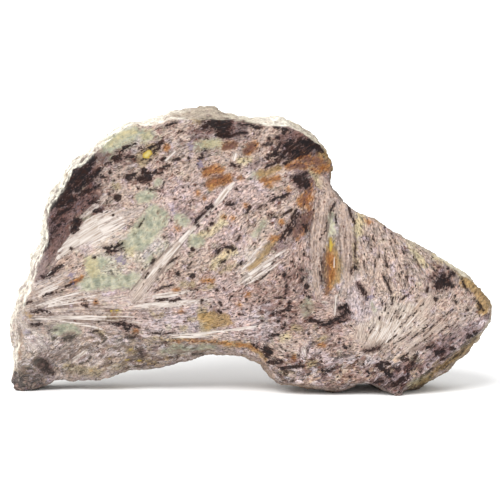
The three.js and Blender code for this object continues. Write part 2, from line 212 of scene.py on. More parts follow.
DARK_SPOTS = (
    (9.6, 36.9, 0.45), (10.8, 37.7, 0.35), (5.8, 36.2, 0.35), (7.4, 33.4, 0.4), (9.5, 30, 0.5),
    (6.1, 30.2, 0.4), (14.6, 26.6, 0.5), (12.8, 25.6, 0.45), (16.2, 30.4, 0.4), (2.3, 22.6, 0.4),
    (3.4, 27.4, 0.45), (18.6, 24.4, 0.45), (21, 21.4, 0.4), (23.6, 20.6, 0.4), (5.6, 18, 0.4),
    (14.6, 17.6, 0.5), (20.2, 17.4, 0.4), (12, 13, 0.5), (22.4, 12.6, 0.4), (27.4, 13.6, 0.45),
    (30.6, 11.6, 0.5), (28.6, 8, 0.5), (31.6, 6.4, 0.5), (18.6, 7, 0.5), (35.9, 10.5, 0.4),
    (33.8, 12.6, 0.4), (37.4, 6.6, 0.45), (40.4, 12.6, 0.4), (-7.6, 38.8, 0.4), (-4.4, 36.6, 0.35),
    (-61, 33.6, 0.35), (-59.1, 34.1, 0.4), (-43.6, 45.6, 0.5), (-52.3, 31, 0.35), (-56, 47.3, 0.7),
    (-55.8, 41.3, 0.4), (-56.3, 43.4, 0.4), (-57.5, 44.2, 0.4), (-59, 44.5, 0.4), (-49, 44.7, 0.6),
    (-43.8, 10.8, 0.5), (-58.3, 36.6, 0.3), (-57, 9.7, 0.4), (-52.7, 9.6, 0.4), (-69, 14, 0.35),
    (-44, 12.4, 0.35), (-48.3, 30.6, 0.3), (-23, 12.5, 0.6), (-38.4, 44.2, 0.3),
    (-33.7, 40.7, 0.35), (-41.3, 63.5, 1.3), (-44, 64.7, 0.6), (-43.7, 71.3, 0.7),
    (-42.5, 68.9, 0.5), (-41, 69.9, 0.5), (-36.5, 63.3, 0.4), (-34.8, 66.3, 0.45),
    (-31.5, 67.8, 0.45), (-41, 60.8, 0.4), (-28.8, 59, 0.5), (-42.7, 58, 0.4), (-14.3, 72.5, 0.5),
    (-19, 75.8, 0.6), (-19, 70, 0.5), (-20.5, 74.3, 0.45), (-19, 73.2, 0.45), (-19, 66.7, 0.4),
    (-17, 67.2, 0.4), (-14.2, 67.3, 0.4), (-21, 66.7, 0.4), (-3.2, 73.1, 0.5), (10.5, 83.8, 0.8),
    (8.7, 82.3, 0.8), (6, 82, 0.6), (-16, 54.5, 0.6), (-12, 55.2, 0.8), (-13.2, 53.3, 0.45),
    (-13.3, 57.4, 0.45), (-11.8, 57, 0.45), (-10.6, 59.8, 0.45), (-18.2, 57, 0.5),
    (-24.6, 56.2, 0.45), (-26.8, 50.9, 0.6), (-19, 49.8, 0.45), (-18, 47, 0.8), (-19, 46, 0.5),
    (-15.3, 40.3, 0.6), (-21, 43, 0.45), (-22.5, 39.3, 0.9), (-18, 38.6, 1.0), (-23.5, 39.8, 0.5),
    (-36, 52, 0.4), (-36.7, 52.9, 0.35), (-21.5, 63.6, 0.4), (-23.2, 62.9, 0.4), (-2.7, 62.7, 0.45),
    (-6.7, 46.3, 0.5), (23.2, 47, 0.5), (13.3, 43.2, 0.6), (17, 45.5, 0.6), (16.2, 40.5, 0.7),
    (17.9, 35.3, 1.0), (11, 42, 0.5), (11, 39, 0.9), (12.3, 38.3, 0.7), (5.2, 60.9, 0.45),
    (3.3, 58.8, 0.4), (-22, 33, 0.45), (-10.3, 34.2, 0.8), (-8, 34.5, 0.5), (-12.2, 28.9, 0.5),
    (-6.7, 28.5, 0.5), (-5.7, 32.2, 0.5), (-6.3, 31.3, 0.45), (-1, 28, 0.45), (-1, 31, 0.45),
    (-20.3, 24, 0.45), (-26.5, 23, 0.45), (15.3, 13.3, 0.5), (16, 11, 0.45), (8, 21.8, 0.5),
    (9, 24.3, 0.8), (4, 24.3, 0.5), (12.5, 30.2, 0.7), (11, 31.5, 0.5), (3, 32, 0.5),
    (4.3, 34.4, 0.45), (17, 20.3, 0.5), (18.7, 20, 0.5), (14, 34, 0.5), (25.7, 20, 0.5),
    (27, 16.8, 0.5), (31.7, 16.3, 0.5), (28.4, 18.7, 0.5), (31.9, 22.8, 0.5), (24, 7.3, 0.5),
    (26, 9, 0.5), (34.3, 7.7, 0.5), (13.5, 5, 0.5), (49.5, 38.3, 0.5), (51, 34.5, 0.4),
    (51.2, 37, 0.4), (38.5, 50.5, 0.4), (41.8, 50.3, 0.4), (63.8, 35.3, 0.7), (60.6, 34, 0.4),
    (61.8, 34.3, 0.4), (64.6, 32.3, 0.55), (65, 30.5, 0.55), (58.6, 31.2, 0.85), (57.3, 38, 0.5),
    (56.2, 38.3, 0.4), (53.3, 32.3, 0.4), (52.5, 30.8, 0.4), (59.3, 41.5, 0.6), (62.3, 41, 0.6),
    (60, 39.5, 0.5), (69.7, 31.3, 0.45), (68.5, 28, 0.6), (72.2, 28, 0.5), (50, 6.5, 0.6),
    (64, 15.5, 0.9), (57.5, 20.3, 0.4), (61, 18.3, 0.4), (54, 8.2, 0.5),
)

# Single dark needles, most of them in and above the fan.
NEEDLE_STROKES = (
    (0.3, (37.2, 50.1, 0.1), (37.8, 48.6), (38.2, 46.9, 0.1)), (0.25, (38.6, 51.4), (39.3, 48)),
    (0.3, (39.3, 44.3), (39.6, 41.9, 0.1)), (0.3, (40.5, 46.6, 0.1), (40.7, 44.6)),
    (0.35, (42.4, 44.5, 0.2), (42.9, 41.9)), (0.25, (44, 49.9), (45, 47.9)),
    (0.25, (45.5, 46.4), (46, 44.4)), (0.3, (46.9, 42.4), (47.4, 41.1)),
    (0.25, (48.9, 42.4), (49.5, 40)), (0.3, (49, 38.5), (49.5, 36.9)),
    (0.25, (51.4, 44.9), (51.9, 43)), (0.3, (52.1, 43.5), (53.3, 41.1, 0.1)),
    (0.3, (56, 42.9, 0.1), (58, 40.6)), (0.25, (46.9, 26.8), (46.4, 25.3)),
    (0.25, (48.2, 23.7), (47.9, 22.1)), (0.25, (52.9, 25.8), (51.9, 23.7)),
    (0.4, (27.6, 28.8, 0.2), (29, 28.6), (30.6, 29.6, 0.2)),
    (0.4, (30.4, 28, 0.5), (31.6, 27), (33, 26.4, 0.2)),
    (0.35, (28, 24.2), (29.6, 24), (31.8, 24.8, 0.2)), (0.3, (71.4, 18.8), (69.6, 17.2)),
    (0.3, (67.6, 14.8), (66.2, 13)), (0.35, (64.2, 12.2), (62.6, 11.2)),
    (0.3, (60.6, 9.6), (59, 8)), (0.35, (57.8, 7.4), (56.4, 5)), (0.3, (62, 9.4), (60.8, 8.2)),
    (0.3, (54.4, 6), (53.4, 4.4)), (0.65, (-68, 11.4), (-65.4, 11.6), (-64, 10), (-64.6, 8.6)),
    (0.6, (-66.6, 9.4), (-64, 8.4), (-61.6, 7.2, 0.3)),
    (0.5, (-60, 18.2, 0.3), (-57.6, 19.2), (-55, 19.6, 0.3)),
    (0.4, (-58.6, 17.4, 0.2), (-56.4, 18)),
    (0.3, (36.3, 51.4, 0.2), (37, 49.7), (37.9, 48.3), (38.2, 46.6, 0.35)),
    (0.3, (39.4, 43.5), (39.5, 41.5)), (0.35, (42.6, 44.9, 0.2), (42.9, 43), (43.3, 41.5)),
    (0.45, (41.8, 39.5, 0.3), (42.3, 37.9), (43.4, 36), (44.1, 34.4, 0.6), (44.5, 32.9, 0.3)),
    (0.35, (43.9, 37.8), (43.4, 36.4)), (0.3, (46.8, 42), (47.5, 41.2)),
    (0.35, (52.2, 43.8), (53, 42.3), (53.6, 41)),
    (0.35, (56.2, 42.9, 0.2), (57.3, 41.4), (58.5, 40.2)), (0.35, (42.3, 54.5), (42.4, 52.5)),
    (0.3, (44.3, 52.5), (45, 50.5), (45.9, 48.8)),
    (0.3, (47.4, 22.2, 0.4), (49, 24, 0.25), (50.6, 26.2), (52.2, 28.2, 0.15)),
    (0.3, (47, 24.9), (47.7, 25.9)), (0.25, (51.4, 26), (53.6, 29), (55, 30.3)),
    (0.25, (54.8, 19.5), (58, 23), (61, 25.6), (64, 28)), (0.3, (54.5, 21), (56, 22.5)),
    (0.3, (42.6, 27.6), (42.9, 29.8)), (0.35, (41.7, 29.3), (41.7, 30.6)),
    (0.35, (44.8, 29.6), (45, 31.8)), (0.3, (40.9, 25), (41.1, 25.6)),
    (0.35, (47, 30.4, 0.2), (48.5, 31.8), (50.5, 33)),
    (0.3, (49.6, 17.6, 0.15), (53, 20.2), (56.4, 23.4, 0.15)),
    (0.3, (46, 17.2, 0.15), (49, 19), (51.6, 21.6, 0.15)),
    (0.3, (51.4, 15.8, 0.15), (55, 18.2), (58.6, 21, 0.15)), (0.25, (43.6, 17.6), (46.4, 19.8)),
    (0.25, (59.4, 20.2), (62.6, 22.8)), (0.25, (44.4, 24.4), (46.2, 27.8)),
    (0.25, (38, 20.4), (39.4, 23)), (0.25, (36.2, 40.6), (35.8, 43.6)),
    (0.25, (47.4, 37.4), (46.8, 39.4)), (0.25, (49.6, 42.6), (50.6, 41)),
)

# Streaks of dark brown.
UMBER_STROKES = (
    (1.5, (46, 8.4, 0.8), (50, 10.4), (54, 9.6, 0.9)),
    (1.2, (51, 15.4, 0.6), (54.6, 16), (57.4, 17.4, 0.6)),
    (1.6, (36, 14.8, 0.9), (38.6, 15.6), (42.4, 17.4, 0.8)),
    (1.6, (28.2, 27.6, 1.0), (31, 26, 1.4)), (1.2, (-17, 84.6, 0.6), (-12, 84.4), (-5, 85, 0.7)),
    (1.3, (-60, 55.6, 0.8), (-57, 59.6), (-52, 65, 0.8)),
    (1.3, (-68.4, 11, 0.8), (-65, 10.2), (-62.6, 8, 0.6)),
    (1.2, (21, 23.4, 0.6), (25, 22.6), (29, 24.6, 0.8)),
    (0.8, (18.6, 74.6, 0.4), (20.6, 75.2), (22.4, 74.6, 0.4)),
    *sheaf(9, 0.7, ((20, 60), (18.6, 55), (16.6, 51)), ((14.6, 60), (12.6, 55), (10, 50)), 31),
    (0.9, (15, 74.8, 0.5), (17.4, 75.6), (20, 75.4, 0.5)),
    (0.8, (12.6, 72.6, 0.4), (15, 73.4), (17, 73, 0.4)),
    (0.8, (20.6, 73.6, 0.4), (23, 74.6), (24.4, 75.6, 0.4)),
    (0.7, (17.4, 77.6, 0.3), (20.6, 77.2, 0.7)),
    (0.8, (-12.6, 70.4, 0.4), (-10, 70.2), (-7.6, 70.6, 0.4)),
    (0.7, (16.6, 60.6, 0.4), (17.2, 62.6), (17, 64.4, 0.3)),
    (0.6, (24.2, 38.6, 0.3), (24, 36), (24.6, 34.4, 0.3)), (1.2, (-7.6, 79.2), (-5, 80.2)),
    (1.4, (-1.6, 78, 0.9), (0.6, 79.6)),
    *sheaf(9, 0.7, ((-66, 41), (-62, 50), (-57, 60)), ((-61, 41), (-59, 49), (-53, 58)), 33),
    *sheaf(6, 0.6, ((-57, 61), (-53, 64), (-46, 67)), ((-54, 57), (-50, 60), (-44, 64)), 35),
    *sheaf(5, 0.5, ((6, 82), (12, 84), (18, 84)), ((6, 76), (12, 78), (20, 80)), 37),
    *sheaf(5, 0.5, ((-50, 74), (-42, 78), (-34, 81)), ((-48, 71), (-40, 73), (-32, 76)), 39),
    *sheaf(5, 0.4, ((10, 33), (14, 40), (17, 45)), ((15, 30), (18, 36), (19, 42)), 41),
    *sheaf(5, 0.4, ((0, 30), (6, 31), (12, 33)), ((2, 22), (8, 24), (14, 27)), 43),
    (0.8, (-42, 24, 0.4), (-39, 23.2), (-36.4, 22.4, 0.4)),
    (0.8, (-59.6, 19.6, 0.4), (-56.4, 20.2), (-54.6, 19.4, 0.4)), (0.6, (-37, 19.6), (-34, 18.6)),
    (0.9, (-34.6, 14.8), (-33.4, 13.2)),
    (0.8, (23.6, 37, 0.5), (24.2, 34.2, 0.6), (25.6, 32.6, 0.4)),
    (0.5, (23.6, 46.4), (23.4, 42), (23.8, 38)), (0.5, (24.4, 41.6), (24.6, 39.4)),
    (0.9, (34.2, 36), (35.6, 34), (36.8, 31.6, 0.5)),
)

# Thin brown seams between the fibres.
THREAD_STROKES = (
    *sheaf(9, 0.2, ((-71, 29), (-60, 35), (-50, 39)), ((-71.5, 27), (-58, 28.4), (-40, 28.6)), 107),
    *sheaf(6, 0.2, ((-71, 26.6), (-50, 27.4), (-30, 28)), ((-70, 25), (-50, 23.4), (-30, 22)), 109),
    (0.3, (-22, 50.4, 0.15), (-27, 46, 0.3), (-33, 39.4, 0.3), (-38.4, 32.6, 0.15)),
    (0.3, (-19, 51.6, 0.15), (-23.6, 45.4, 0.3), (-28.4, 39, 0.3), (-32.6, 33, 0.15)),
    (0.2, (-68.5, 26.2), (-60, 26.4), (-52, 26.1, 0.1)),
    (0.3, (-57, 24.3, 0.1), (-50, 24.2), (-45, 24.4), (-40, 23.2)),
    (0.2, (-65, 31.5), (-60, 32.9), (-56.5, 34.1)), (0.2, (-69, 29), (-62, 30.2), (-56, 31.4, 0.1)),
    (0.2, (-58, 27.4), (-50, 27.6), (-44, 27.2)), (0.25, (-66, 34.4), (-61, 36.2), (-58, 37.6)),
    (0.25, (-52, 28.4), (-46, 28.3), (-40, 27.6)), (0.25, (-38, 27.6), (-31, 27.6), (-24, 28)),
    (0.25, (-42, 25.2), (-36, 26), (-32, 26.6), (-30.4, 25.6), (-27, 26.6), (-20, 27)),
    (0.25, (-37, 30), (-31, 30), (-25, 30.2)), (0.25, (-64, 12.5), (-58, 14.8), (-54, 16.2)),
    (0.2, (-63, 10.5), (-57, 12.8), (-54, 13.9)), (0.3, (-60.6, 13.4), (-55.6, 16.2)),
    (0.25, (-72.5, 22.6), (-72.2, 15), (-71.7, 7.6)), (0.2, (-71.6, 22), (-71.3, 14), (-71, 9)),
    (0.3, (16.2, 16.4), (15.6, 13)), (0.3, (20.8, 15.4), (20, 12)), (0.3, (-58, 11.2), (-51, 15.6)),
    *sheaf(9, 0.25, ((-67, 9), (-61, 14.4), (-57, 20)), ((-52, 7), (-46, 12), (-40, 18)), 117),
    *sheaf(7, 0.25, ((-50, 8), (-44, 12.6), (-38, 17)), ((-34, 10), (-28, 13), (-22, 16.4)), 119),
    (0.3, (-52.6, 14.8), (-48.6, 17.2)), (0.3, (-47.6, 9.6), (-42.6, 12.6)),
    (0.3, (-40.6, 10.4), (-35.6, 13.4)), (0.3, (-33, 10.8), (-26, 12.4)),
    (0.3, (-25, 13.6), (-19.5, 14.4)), (0.3, (-43.6, 15), (-39.6, 16.4)),
    (0.25, (-72.2, 22), (-72.6, 14), (-73.4, 8)), (0.2, (-73, 22), (-73.6, 14), (-74.2, 8)),
    (0.2, (-71.5, 18), (-71.8, 12), (-72.4, 8)),
    *sheaf(3, 0.15, ((21.6, 64), (19.4, 50), (19.4, 34)), ((24.6, 64), (22.6, 50), (22.4, 34)), 111),
    *sheaf(3, 0.15, ((27.4, 61), (27.8, 48), (28.8, 36)), ((29.6, 61), (31.6, 48), (32, 36)), 113),
    (0.35, (20.4, 62, 0.2), (19.2, 55), (18.6, 48, 0.3), (18.8, 40, 0.2)),
    (0.35, (23.6, 46, 0.2), (23, 41), (22.6, 35, 0.2)),
    (0.35, (32.6, 57, 0.2), (33, 50), (33.2, 44, 0.3), (32.6, 38, 0.2)),
    (0.3, (28, 54, 0.2), (28.2, 50), (28.6, 45, 0.2)),
    (0.45, (25.2, 63.6, 0.2), (25.2, 58), (24.4, 53, 0.4), (23.6, 48, 0.2)),
    (0.25, (22.4, 46), (22.7, 41), (22.2, 36)), (0.2, (20, 49.5), (20, 44)),
    (0.25, (27.2, 51), (27, 47)), (0.2, (29.8, 56), (30.3, 48), (30.8, 40)),
    (0.2, (28.6, 54), (27.6, 50)), (0.25, (31.6, 52), (31.8, 44), (31.4, 37)),
    (0.2, (25, 65), (24.4, 60), (23.7, 55)), (0.2, (21.6, 62), (20.6, 56), (20.2, 51)),
    (0.2, (35.5, 52), (35, 46), (34.6, 41)),
    *sheaf(4, 0.2, ((-4, 38), (2, 42), (13, 48.6)), ((-4, 34.6), (3, 37.8), (12, 45)), 115),
    (0.25, (-60, 47.6), (-55, 51.4), (-50, 54.6), (-46, 57)),
    (0.25, (-58, 46), (-52, 50), (-46, 53.2), (-41, 55.4)),
    (0.25, (-60, 44.2), (-55.5, 47.2), (-53.5, 48.3)),
)

PURPLE_STROKES = (
    (3.4, (-60, 56), (-60.5, 50)), (3.0, (-62.5, 47), (-64.5, 43), (-66, 40)),
    (2.5, (-55, 60), (-51, 62)), (1.6, (-47.5, 77), (-45, 76)),
    (1.0, (-18, 82.5), (-15.5, 83.5), (-13, 83)), (0.9, (-22.5, 60.3), (-21, 59.3), (-18.5, 58)),
    (1.3, (8, 47.5), (10, 48.5)), (1.8, (14.4, 52.2), (16.4, 55.4), (18, 58, 1.0)),
    (1.4, (39, 4, 1.0), (42.6, 3), (46.4, 2.6)), (0.9, (64, 21), (65, 22.5)),
    (0.8, (28, 11.5), (27, 10.5)), (1.0, (0.5, 73), (3, 75)), (2.8, (15.6, 69.6), (17.4, 67.4)),
    (2.0, (-65.5, 10.5), (-64, 8.5)), (2.0, (42, 5), (48, 6)), (1.6, (56.5, 12.5), (62, 16)),
    (1.8, (64, 18.6), (71, 22)), (1.2, (54, 8.6), (57, 11.6)),
)

GREEN_STROKES = (
    (1.6, (18.2, 31, 1.0), (17.8, 28.6), (17.4, 26.4, 0.9)),
    (2.4, (-52, 36), (-46, 37), (-42, 36.5), (-36, 37.5)), (1.6, (-50, 42), (-46, 43)),
    (1.8, (-50, 43), (-49, 39)), (1.2, (-40, 49), (-36, 51)), (0.9, (-52, 57), (-50.5, 58.5)),
    (3.8, (-35, 50), (-32, 54), (-29, 57)), (2.0, (-38, 48), (-35, 49)),
    (1.9, (-34, 63.5), (-31, 64.5)), (2.4, (-30, 59), (-31, 55)), (1.2, (-29, 68), (-28.6, 68.4)),
    (1.6, (-44, 78), (-43.5, 76.5)), (2.2, (-44, 80), (-40, 82.5), (-36, 84)),
    (1.6, (-33, 82), (-31, 83)), (1.8, (-60.5, 21), (-57, 22.5), (-55, 21)),
    (1.6, (-16, 79.5), (-12, 80.5), (-9, 80)),
    (1.4, (-47, 76), (-43, 79.5), (-38, 82), (-33, 83.4)), (2.0, (-18, 50), (-16, 49.5)),
    (1.8, (-22, 57), (-20.5, 56)), (1.2, (-31.8, 44.8), (-31.2, 44)),
    (0.8, (1.4, 51.4), (3, 53.4), (4.6, 56)), (1.2, (1.5, 70.5), (4, 70)),
    (1.6, (19, 29), (17.8, 27)), (0.8, (25.5, 58), (25.7, 52)), (1.0, (-27, 14.5), (-20, 14.5)),
    (1.2, (-24, 15.5), (-12, 16)), (0.3, (38.5, 30), (39.5, 27)), (0.9, (53, 4.5), (56, 5.5)),
)

STRAW_STROKES = (
    (1.1, (66.2, 38.2, 0.5), (68.8, 36.6, 1.1), (70.6, 34.8, 0.6)),
    (0.6, (70.6, 17.2), (69.8, 16.4)), (0.6, (65.6, 12.8), (65, 12.2)),
    (0.7, (62, 10.6), (61, 9.8)), (0.7, (56.4, 4.6), (55.4, 4)),
    (1.5, (-37.5, 46.5), (-37.3, 46.6)), (2.0, (-50, 43), (-49, 40)),
    (1.3, (-15, 51.7), (-12, 52.5), (-10, 54.5), (-8.5, 55.5)),
    (1.6, (-11, 42), (-9, 44), (-7, 46), (-5, 46.5)), (1.4, (-2.5, 75), (-0.5, 75)),
    (1.0, (-44, 80.4), (-40, 82.8), (-36, 84.2)), (0.8, (-33, 82.6), (-31, 83.4)),
    (1.1, (-14, 80.4), (-10, 80.6)), (0.8, (25.5, 50), (25.7, 47)),
    (1.0, (50, 49), (51.5, 46.5), (53.5, 44), (54.8, 42)), (1.6, (34.5, 57), (34, 53)),
    (0.8, (19, 72), (20.5, 70), (21.5, 67.5)), (0.9, (23.5, 75.5), (24, 73.5)),
    (1.0, (10, 19), (12, 19.5)), (0.9, (-57.8, 9.6), (-57.2, 10)),
    (1.2, (58, 45), (62, 43.5), (65, 41.5), (67, 39.7)), (1.2, (51, 3.5), (56, 5)),
    (0.6, (-42.7, 27.6), (-41, 27.6)),
)

OLIVE_STROKES = (
    (1.6, (-15.6, 26.4, 1.0), (-13.8, 25.6, 1.5), (-12, 24.6, 0.9)),
    (1.0, (-9, 39.6, 0.6), (-6.4, 41.4), (-4, 42.6, 0.5)),
    (0.4, (-56, 48.6, 0.2), (-51, 52.6), (-47, 55, 0.2)),
    (0.35, (-50, 51.2, 0.2), (-44, 54.8, 0.2)), (0.3, (-54, 52.8, 0.2), (-48, 57, 0.2)),
    (0.7, (-45, 25.2), (-42, 25)), (1.0, (-41.7, 66.8), (-41.3, 66.9)),
    (1.8, (-15, 27), (-14, 24), (-14, 21.5)), (0.7, (-19, 25), (-16, 25.3)),
    (0.7, (-21.5, 22), (-20, 22)), (0.5, (-31, 27), (-29.5, 25.8), (-28.5, 25.6), (-27, 26.5)),
    (0.9, (-21, 36), (-18, 36)), (0.9, (-14, 35), (-12, 35.5)),
    (0.8, (33, 49), (33, 45), (33.3, 41.5)), (1.0, (14, 22.5), (15.5, 21.5)),
    (1.1, (19, 10.5), (20.5, 11)), (1.0, (22, 18.2), (23.5, 19)), (0.9, (-48, 21), (-46.5, 20.6)),
    (0.9, (-38, 15), (-36, 14)), (0.8, (-17.5, 87.5), (-15.5, 87.5)),
    (2.2, (-33.5, 75.5), (-30.5, 78.5)), (1.6, (-55.6, 8.6), (-52, 8), (-48, 7.6)),
    (0.8, (-44, 9.4), (-40, 10)), (0.7, (-36, 12), (-30, 11)),
    (0.5, (-30, 18.8), (-25, 18.2), (-18, 17.9), (-10, 17.4), (-6, 17)),
)

GOLD_STROKES = (
    (2.4, (-15.4, 26, 1.2), (-11.6, 25, 2.5), (-8.4, 24.6, 2.1), (-6, 24, 0.9)),
    (0.9, (-13.5, 22.6), (-9, 22.8, 0.6)),
    (1.2, (0.3, 41.3), (2, 42.5), (4, 44.8), (6, 47.5), (8, 50)),
    (1.2, (3, 71), (6, 71.5), (9, 73)), (1.3, (22, 77), (24, 77), (25, 75)),
    (2.0, (25.3, 50.5, 0.3), (25.5, 47.5, 1.6), (25.8, 44.5, 2.7), (26, 41.5, 3.1)),
    (2.0, (26, 41.5, 3.1), (25.9, 38.5, 2.7), (25.2, 36, 1.3), (24.4, 33.5, 0.4)),
    (1.9, (68, 36.5), (70, 36), (72, 34), (73, 31.5), (73.5, 28)),
    (0.9, (-12.3, 66.3), (-11.7, 66.7)), (1.4, (-58.5, 67), (-57, 71)),
    (0.9, (-8, 17), (-4, 16.9, 1.1), (-1, 16.7), (0.5, 16), (2, 15), (3, 13.8), (5, 12, 0.5)),
    (0.9, (73, 19.6), (70.6, 17), (68, 14.4), (65, 12.4), (62, 10.4), (60, 9.2), (57, 6.2),
     (54, 3.8)),
)

GOLD_SPOTS = (
    (-45, 11.8, 0.5), (-43.4, 11.4, 0.4), (-42, 11.2, 0.4), (-38, 14, 0.5), (-36.5, 13.5, 0.4),
    (-48, 8.6, 0.4), (-34, 11.4, 0.4), (-30, 10.8, 0.4), (-58, 9.9, 0.5), (-32, 10.2, 0.5),
    (-69.2, 25.8, 0.6), (-70.6, 26.8, 0.6), (-40, 10.6, 0.4), (-26, 12.2, 0.4), (-50, 8.2, 0.4),
)

ORANGE_STROKES = (
    (0.8, (-55.5, 36.5), (-53, 38)), (1.5, (-13.5, 71.3), (-11, 72.3), (-9, 72)),
    (1.7, (-12, 68), (-9, 69), (-7, 69.5)), (1.2, (12, 73.5), (15, 74), (17, 73.5)),
    (1.3, (15, 76.5), (18, 76.3)), (1.3, (19, 75), (22, 75)), (1.3, (22.5, 73), (24, 73)),
    (1.0, (4, 69), (6, 68.5), (9, 69.5)), (0.7, (5, 67.5), (6.5, 67)),
    (1.1, (19, 68), (18.5, 66.8)), (1.3, (16, 62.5), (18, 64.5), (19, 66)),
    (1.9, (16.5, 62), (18, 63.5)), (0.9, (18, 61), (19, 59), (18.5, 57.5)),
    (1.3, (16, 52.5), (17, 55), (17.5, 57)), (0.9, (14, 53), (15, 50.5)),
    (1.0, (25.2, 47.4, 0.3), (25.2, 44.6, 1.3), (25.5, 41.6, 1.7), (25.6, 38.6, 1.4),
     (24.8, 36, 0.6)), (0.6, (24.8, 35.4, 0.9), (24.2, 33, 0.5)), (1.4, (-0.6, 78), (1.5, 80)),
    (1.2, (-7.6, 79.4), (-5, 80)), (0.6, (-23.5, 34.2), (-22.6, 34.2)),
    (0.25, (-24, 17.8), (-15, 18), (-6, 17)), (0.4, (-4, 16.9), (0, 16.3), (2, 15.4)),
    (0.7, (-14.5, 37.2), (-11.5, 37)), (0.3, (-71.8, 21), (-72.8, 12)),
    (0.7, (22, 16.7), (23.5, 16.5)), (0.7, (7, 50.5), (10, 51)), (0.7, (19.5, 72.5), (22, 71.5)),
    (0.45, (52, 27), (53, 29), (54, 30.5)), (0.7, (37, 56), (37.4, 55.6)),
)

ORANGE_SPOTS = (
    (-2.8, 69.5, 0.8), (12.3, 65.8, 0.8), (-16.3, 64.8, 0.9), (-14.2, 63.3, 0.6), (-8, 57.3, 0.8),
    (-5.3, 57, 0.8), (-22.5, 53.8, 0.8), (10, 55.8, 0.8), (-48.5, 30.3, 0.7), (-43, 26, 0.6),
    (-3.3, 29.5, 0.7), (-0.5, 32.8, 0.9), (-21.7, 27.3, 0.7), (-26, 79, 1.1), (14, 12.5, 0.9),
    (-1.2, 60.8, 0.8), (-36, 21.3, 1.0),
)

SILK_STROKES = (
    # rays of the left fan
    *sheaf(4, 0.2, ((-72, 27.6), (-60, 32), (-47, 35.4)), ((-72, 27), (-60, 29.2), (-46, 31)), 3),
    *sheaf(2, 0.15, ((-72, 26.4), (-54, 26), (-34, 26.4)), ((-71, 25), (-54, 25), (-33, 23.6)), 5),
    (0.2, (-70, 24.9, 0.1), (-62, 25), (-55, 25.2, 0.25), (-48, 24.8), (-40, 24), (-32, 23.4, 0.1)),
    (0.3, (-59, 24.2, 0.15), (-54, 23.3), (-50, 22.7), (-46.5, 21.7, 0.2)),
    (0.3, (-64, 38.8, 0.2), (-61.5, 40.6), (-58.5, 42.1, 0.2)),
    *sheaf(3, 0.3, ((-68, 33), (-62, 36), (-56.5, 38.6)), ((-68, 31), (-62, 33.6), (-56, 36)), 7),
    *sheaf(4, 0.35, ((-39, 29), (-26, 30.4), (-10, 32)), ((-39, 27.8), (-26, 28.8), (-12, 30.6)), 9),
    *sheaf(3, 0.25, ((-34, 32), (-24, 33.6), (-16, 34.4)), ((-34, 31), (-24, 32.2), (-16, 33)), 11),
    # slivers of the bevel
    (0.35, (-67.2, 18.2), (-64.2, 15.4)), (0.5, (-55.6, 11.8), (-51.4, 14.6)),
    (0.4, (-70.6, 22.2, 0.2), (-68, 20.6), (-65.5, 19.2, 0.2)),
    (0.4, (-61.7, 16.8, 0.2), (-60, 18.3)), (0.35, (-45, 8.9, 0.15), (-42, 10)),
    (0.25, (-69.6, 17.2), (-68, 15.4)), (0.3, (-59.4, 15.4), (-57.4, 17.2)),
    # bright bundle, upper left
    *sheaf(7, 0.65, ((-59, 48), (-51, 56), (-43, 60.6)), ((-60, 45), (-49, 51), (-38, 57)), 13),
    *sheaf(9, 0.25, ((-58, 49), (-50, 56.6), (-41, 61)), ((-59, 45), (-47, 50), (-33, 57.4)), 15),
    (0.35, (-60, 46.5, 0.3), (-57, 50), (-55, 53, 0.2)),
    (0.7, (-60, 44.6, 0.7), (-57, 47, 0.8), (-53, 50, 0.5)),
    *sheaf(3, 0.3, ((-54, 57.6), (-49, 61.6), (-45, 65.4)), ((-52, 56.4), (-48, 59.2),
     (-44, 62)), 17),
    # long blade
    (1.5, (-5.2, 67.8, 0.5), (-7, 66, 0.8), (-9, 63.5, 0.85), (-11, 60.8, 0.5), (-13.5, 58, 0.35),
     (-16, 55.5, 0.45), (-18.5, 53, 0.6), (-21.4, 50, 0.8)),
    *sheaf(3, 0.25, ((-21, 51), (-27, 45), (-36, 34)), ((-20, 50), (-25.6, 43.6), (-34, 33)), 19),
    # lower strip
    *sheaf(2, 0.3, ((-31, 20), (-18, 20.4), (-6, 21.6)), ((-31, 18.8), (-18, 18.6), (-8, 19.2)), 21),
    (0.3, (-14, 20.6, 0.1), (-8, 21), (-2, 21.9), (4, 22.9, 0.1)),
    # middle strips
    *sheaf(6, 0.25, ((-4, 38), (2, 42), (13, 48.6)), ((-4, 34.6), (3, 37.8), (12, 45)), 23),
    *sheaf(2, 0.25, ((-5, 40.6), (-1, 43.6), (4, 49.6)), ((-4, 39), (1, 43), (5, 48)), 25),
    # fan
    *sheaf(7, 0.3, ((36, 16.6), (39.6, 21), (43, 27)), ((43.6, 16.4), (48, 20.4), (54, 28)), 121),
    # slivers
    (0.3, (17.9, 16.8, 0.1), (17.2, 15), (17.7, 12.8, 0.1)), (0.2, (16.6, 15.8), (16.4, 13.4)),
    (0.25, (27.2, 32.4), (27, 29), (26.7, 26, 0.1)), (0.3, (22.8, 30.4), (24.5, 30)),
    (0.35, (-26.2, 75.3), (-24.5, 77), (-23.5, 78)), (0.5, (-4.5, 77), (-5, 75.5)),
    (0.2, (17, 69, 0.25), (15.4, 70.2, 0.1)), (0.2, (17, 69, 0.25), (17.4, 70.8, 0.1)),
    (0.2, (17, 69, 0.25), (18.8, 70, 0.1)), (0.2, (17, 69, 0.25), (15.6, 67.6, 0.1)),
    (0.12, (26.6, 44.6, 0.05), (26.4, 41), (26, 38, 0.05)),
)

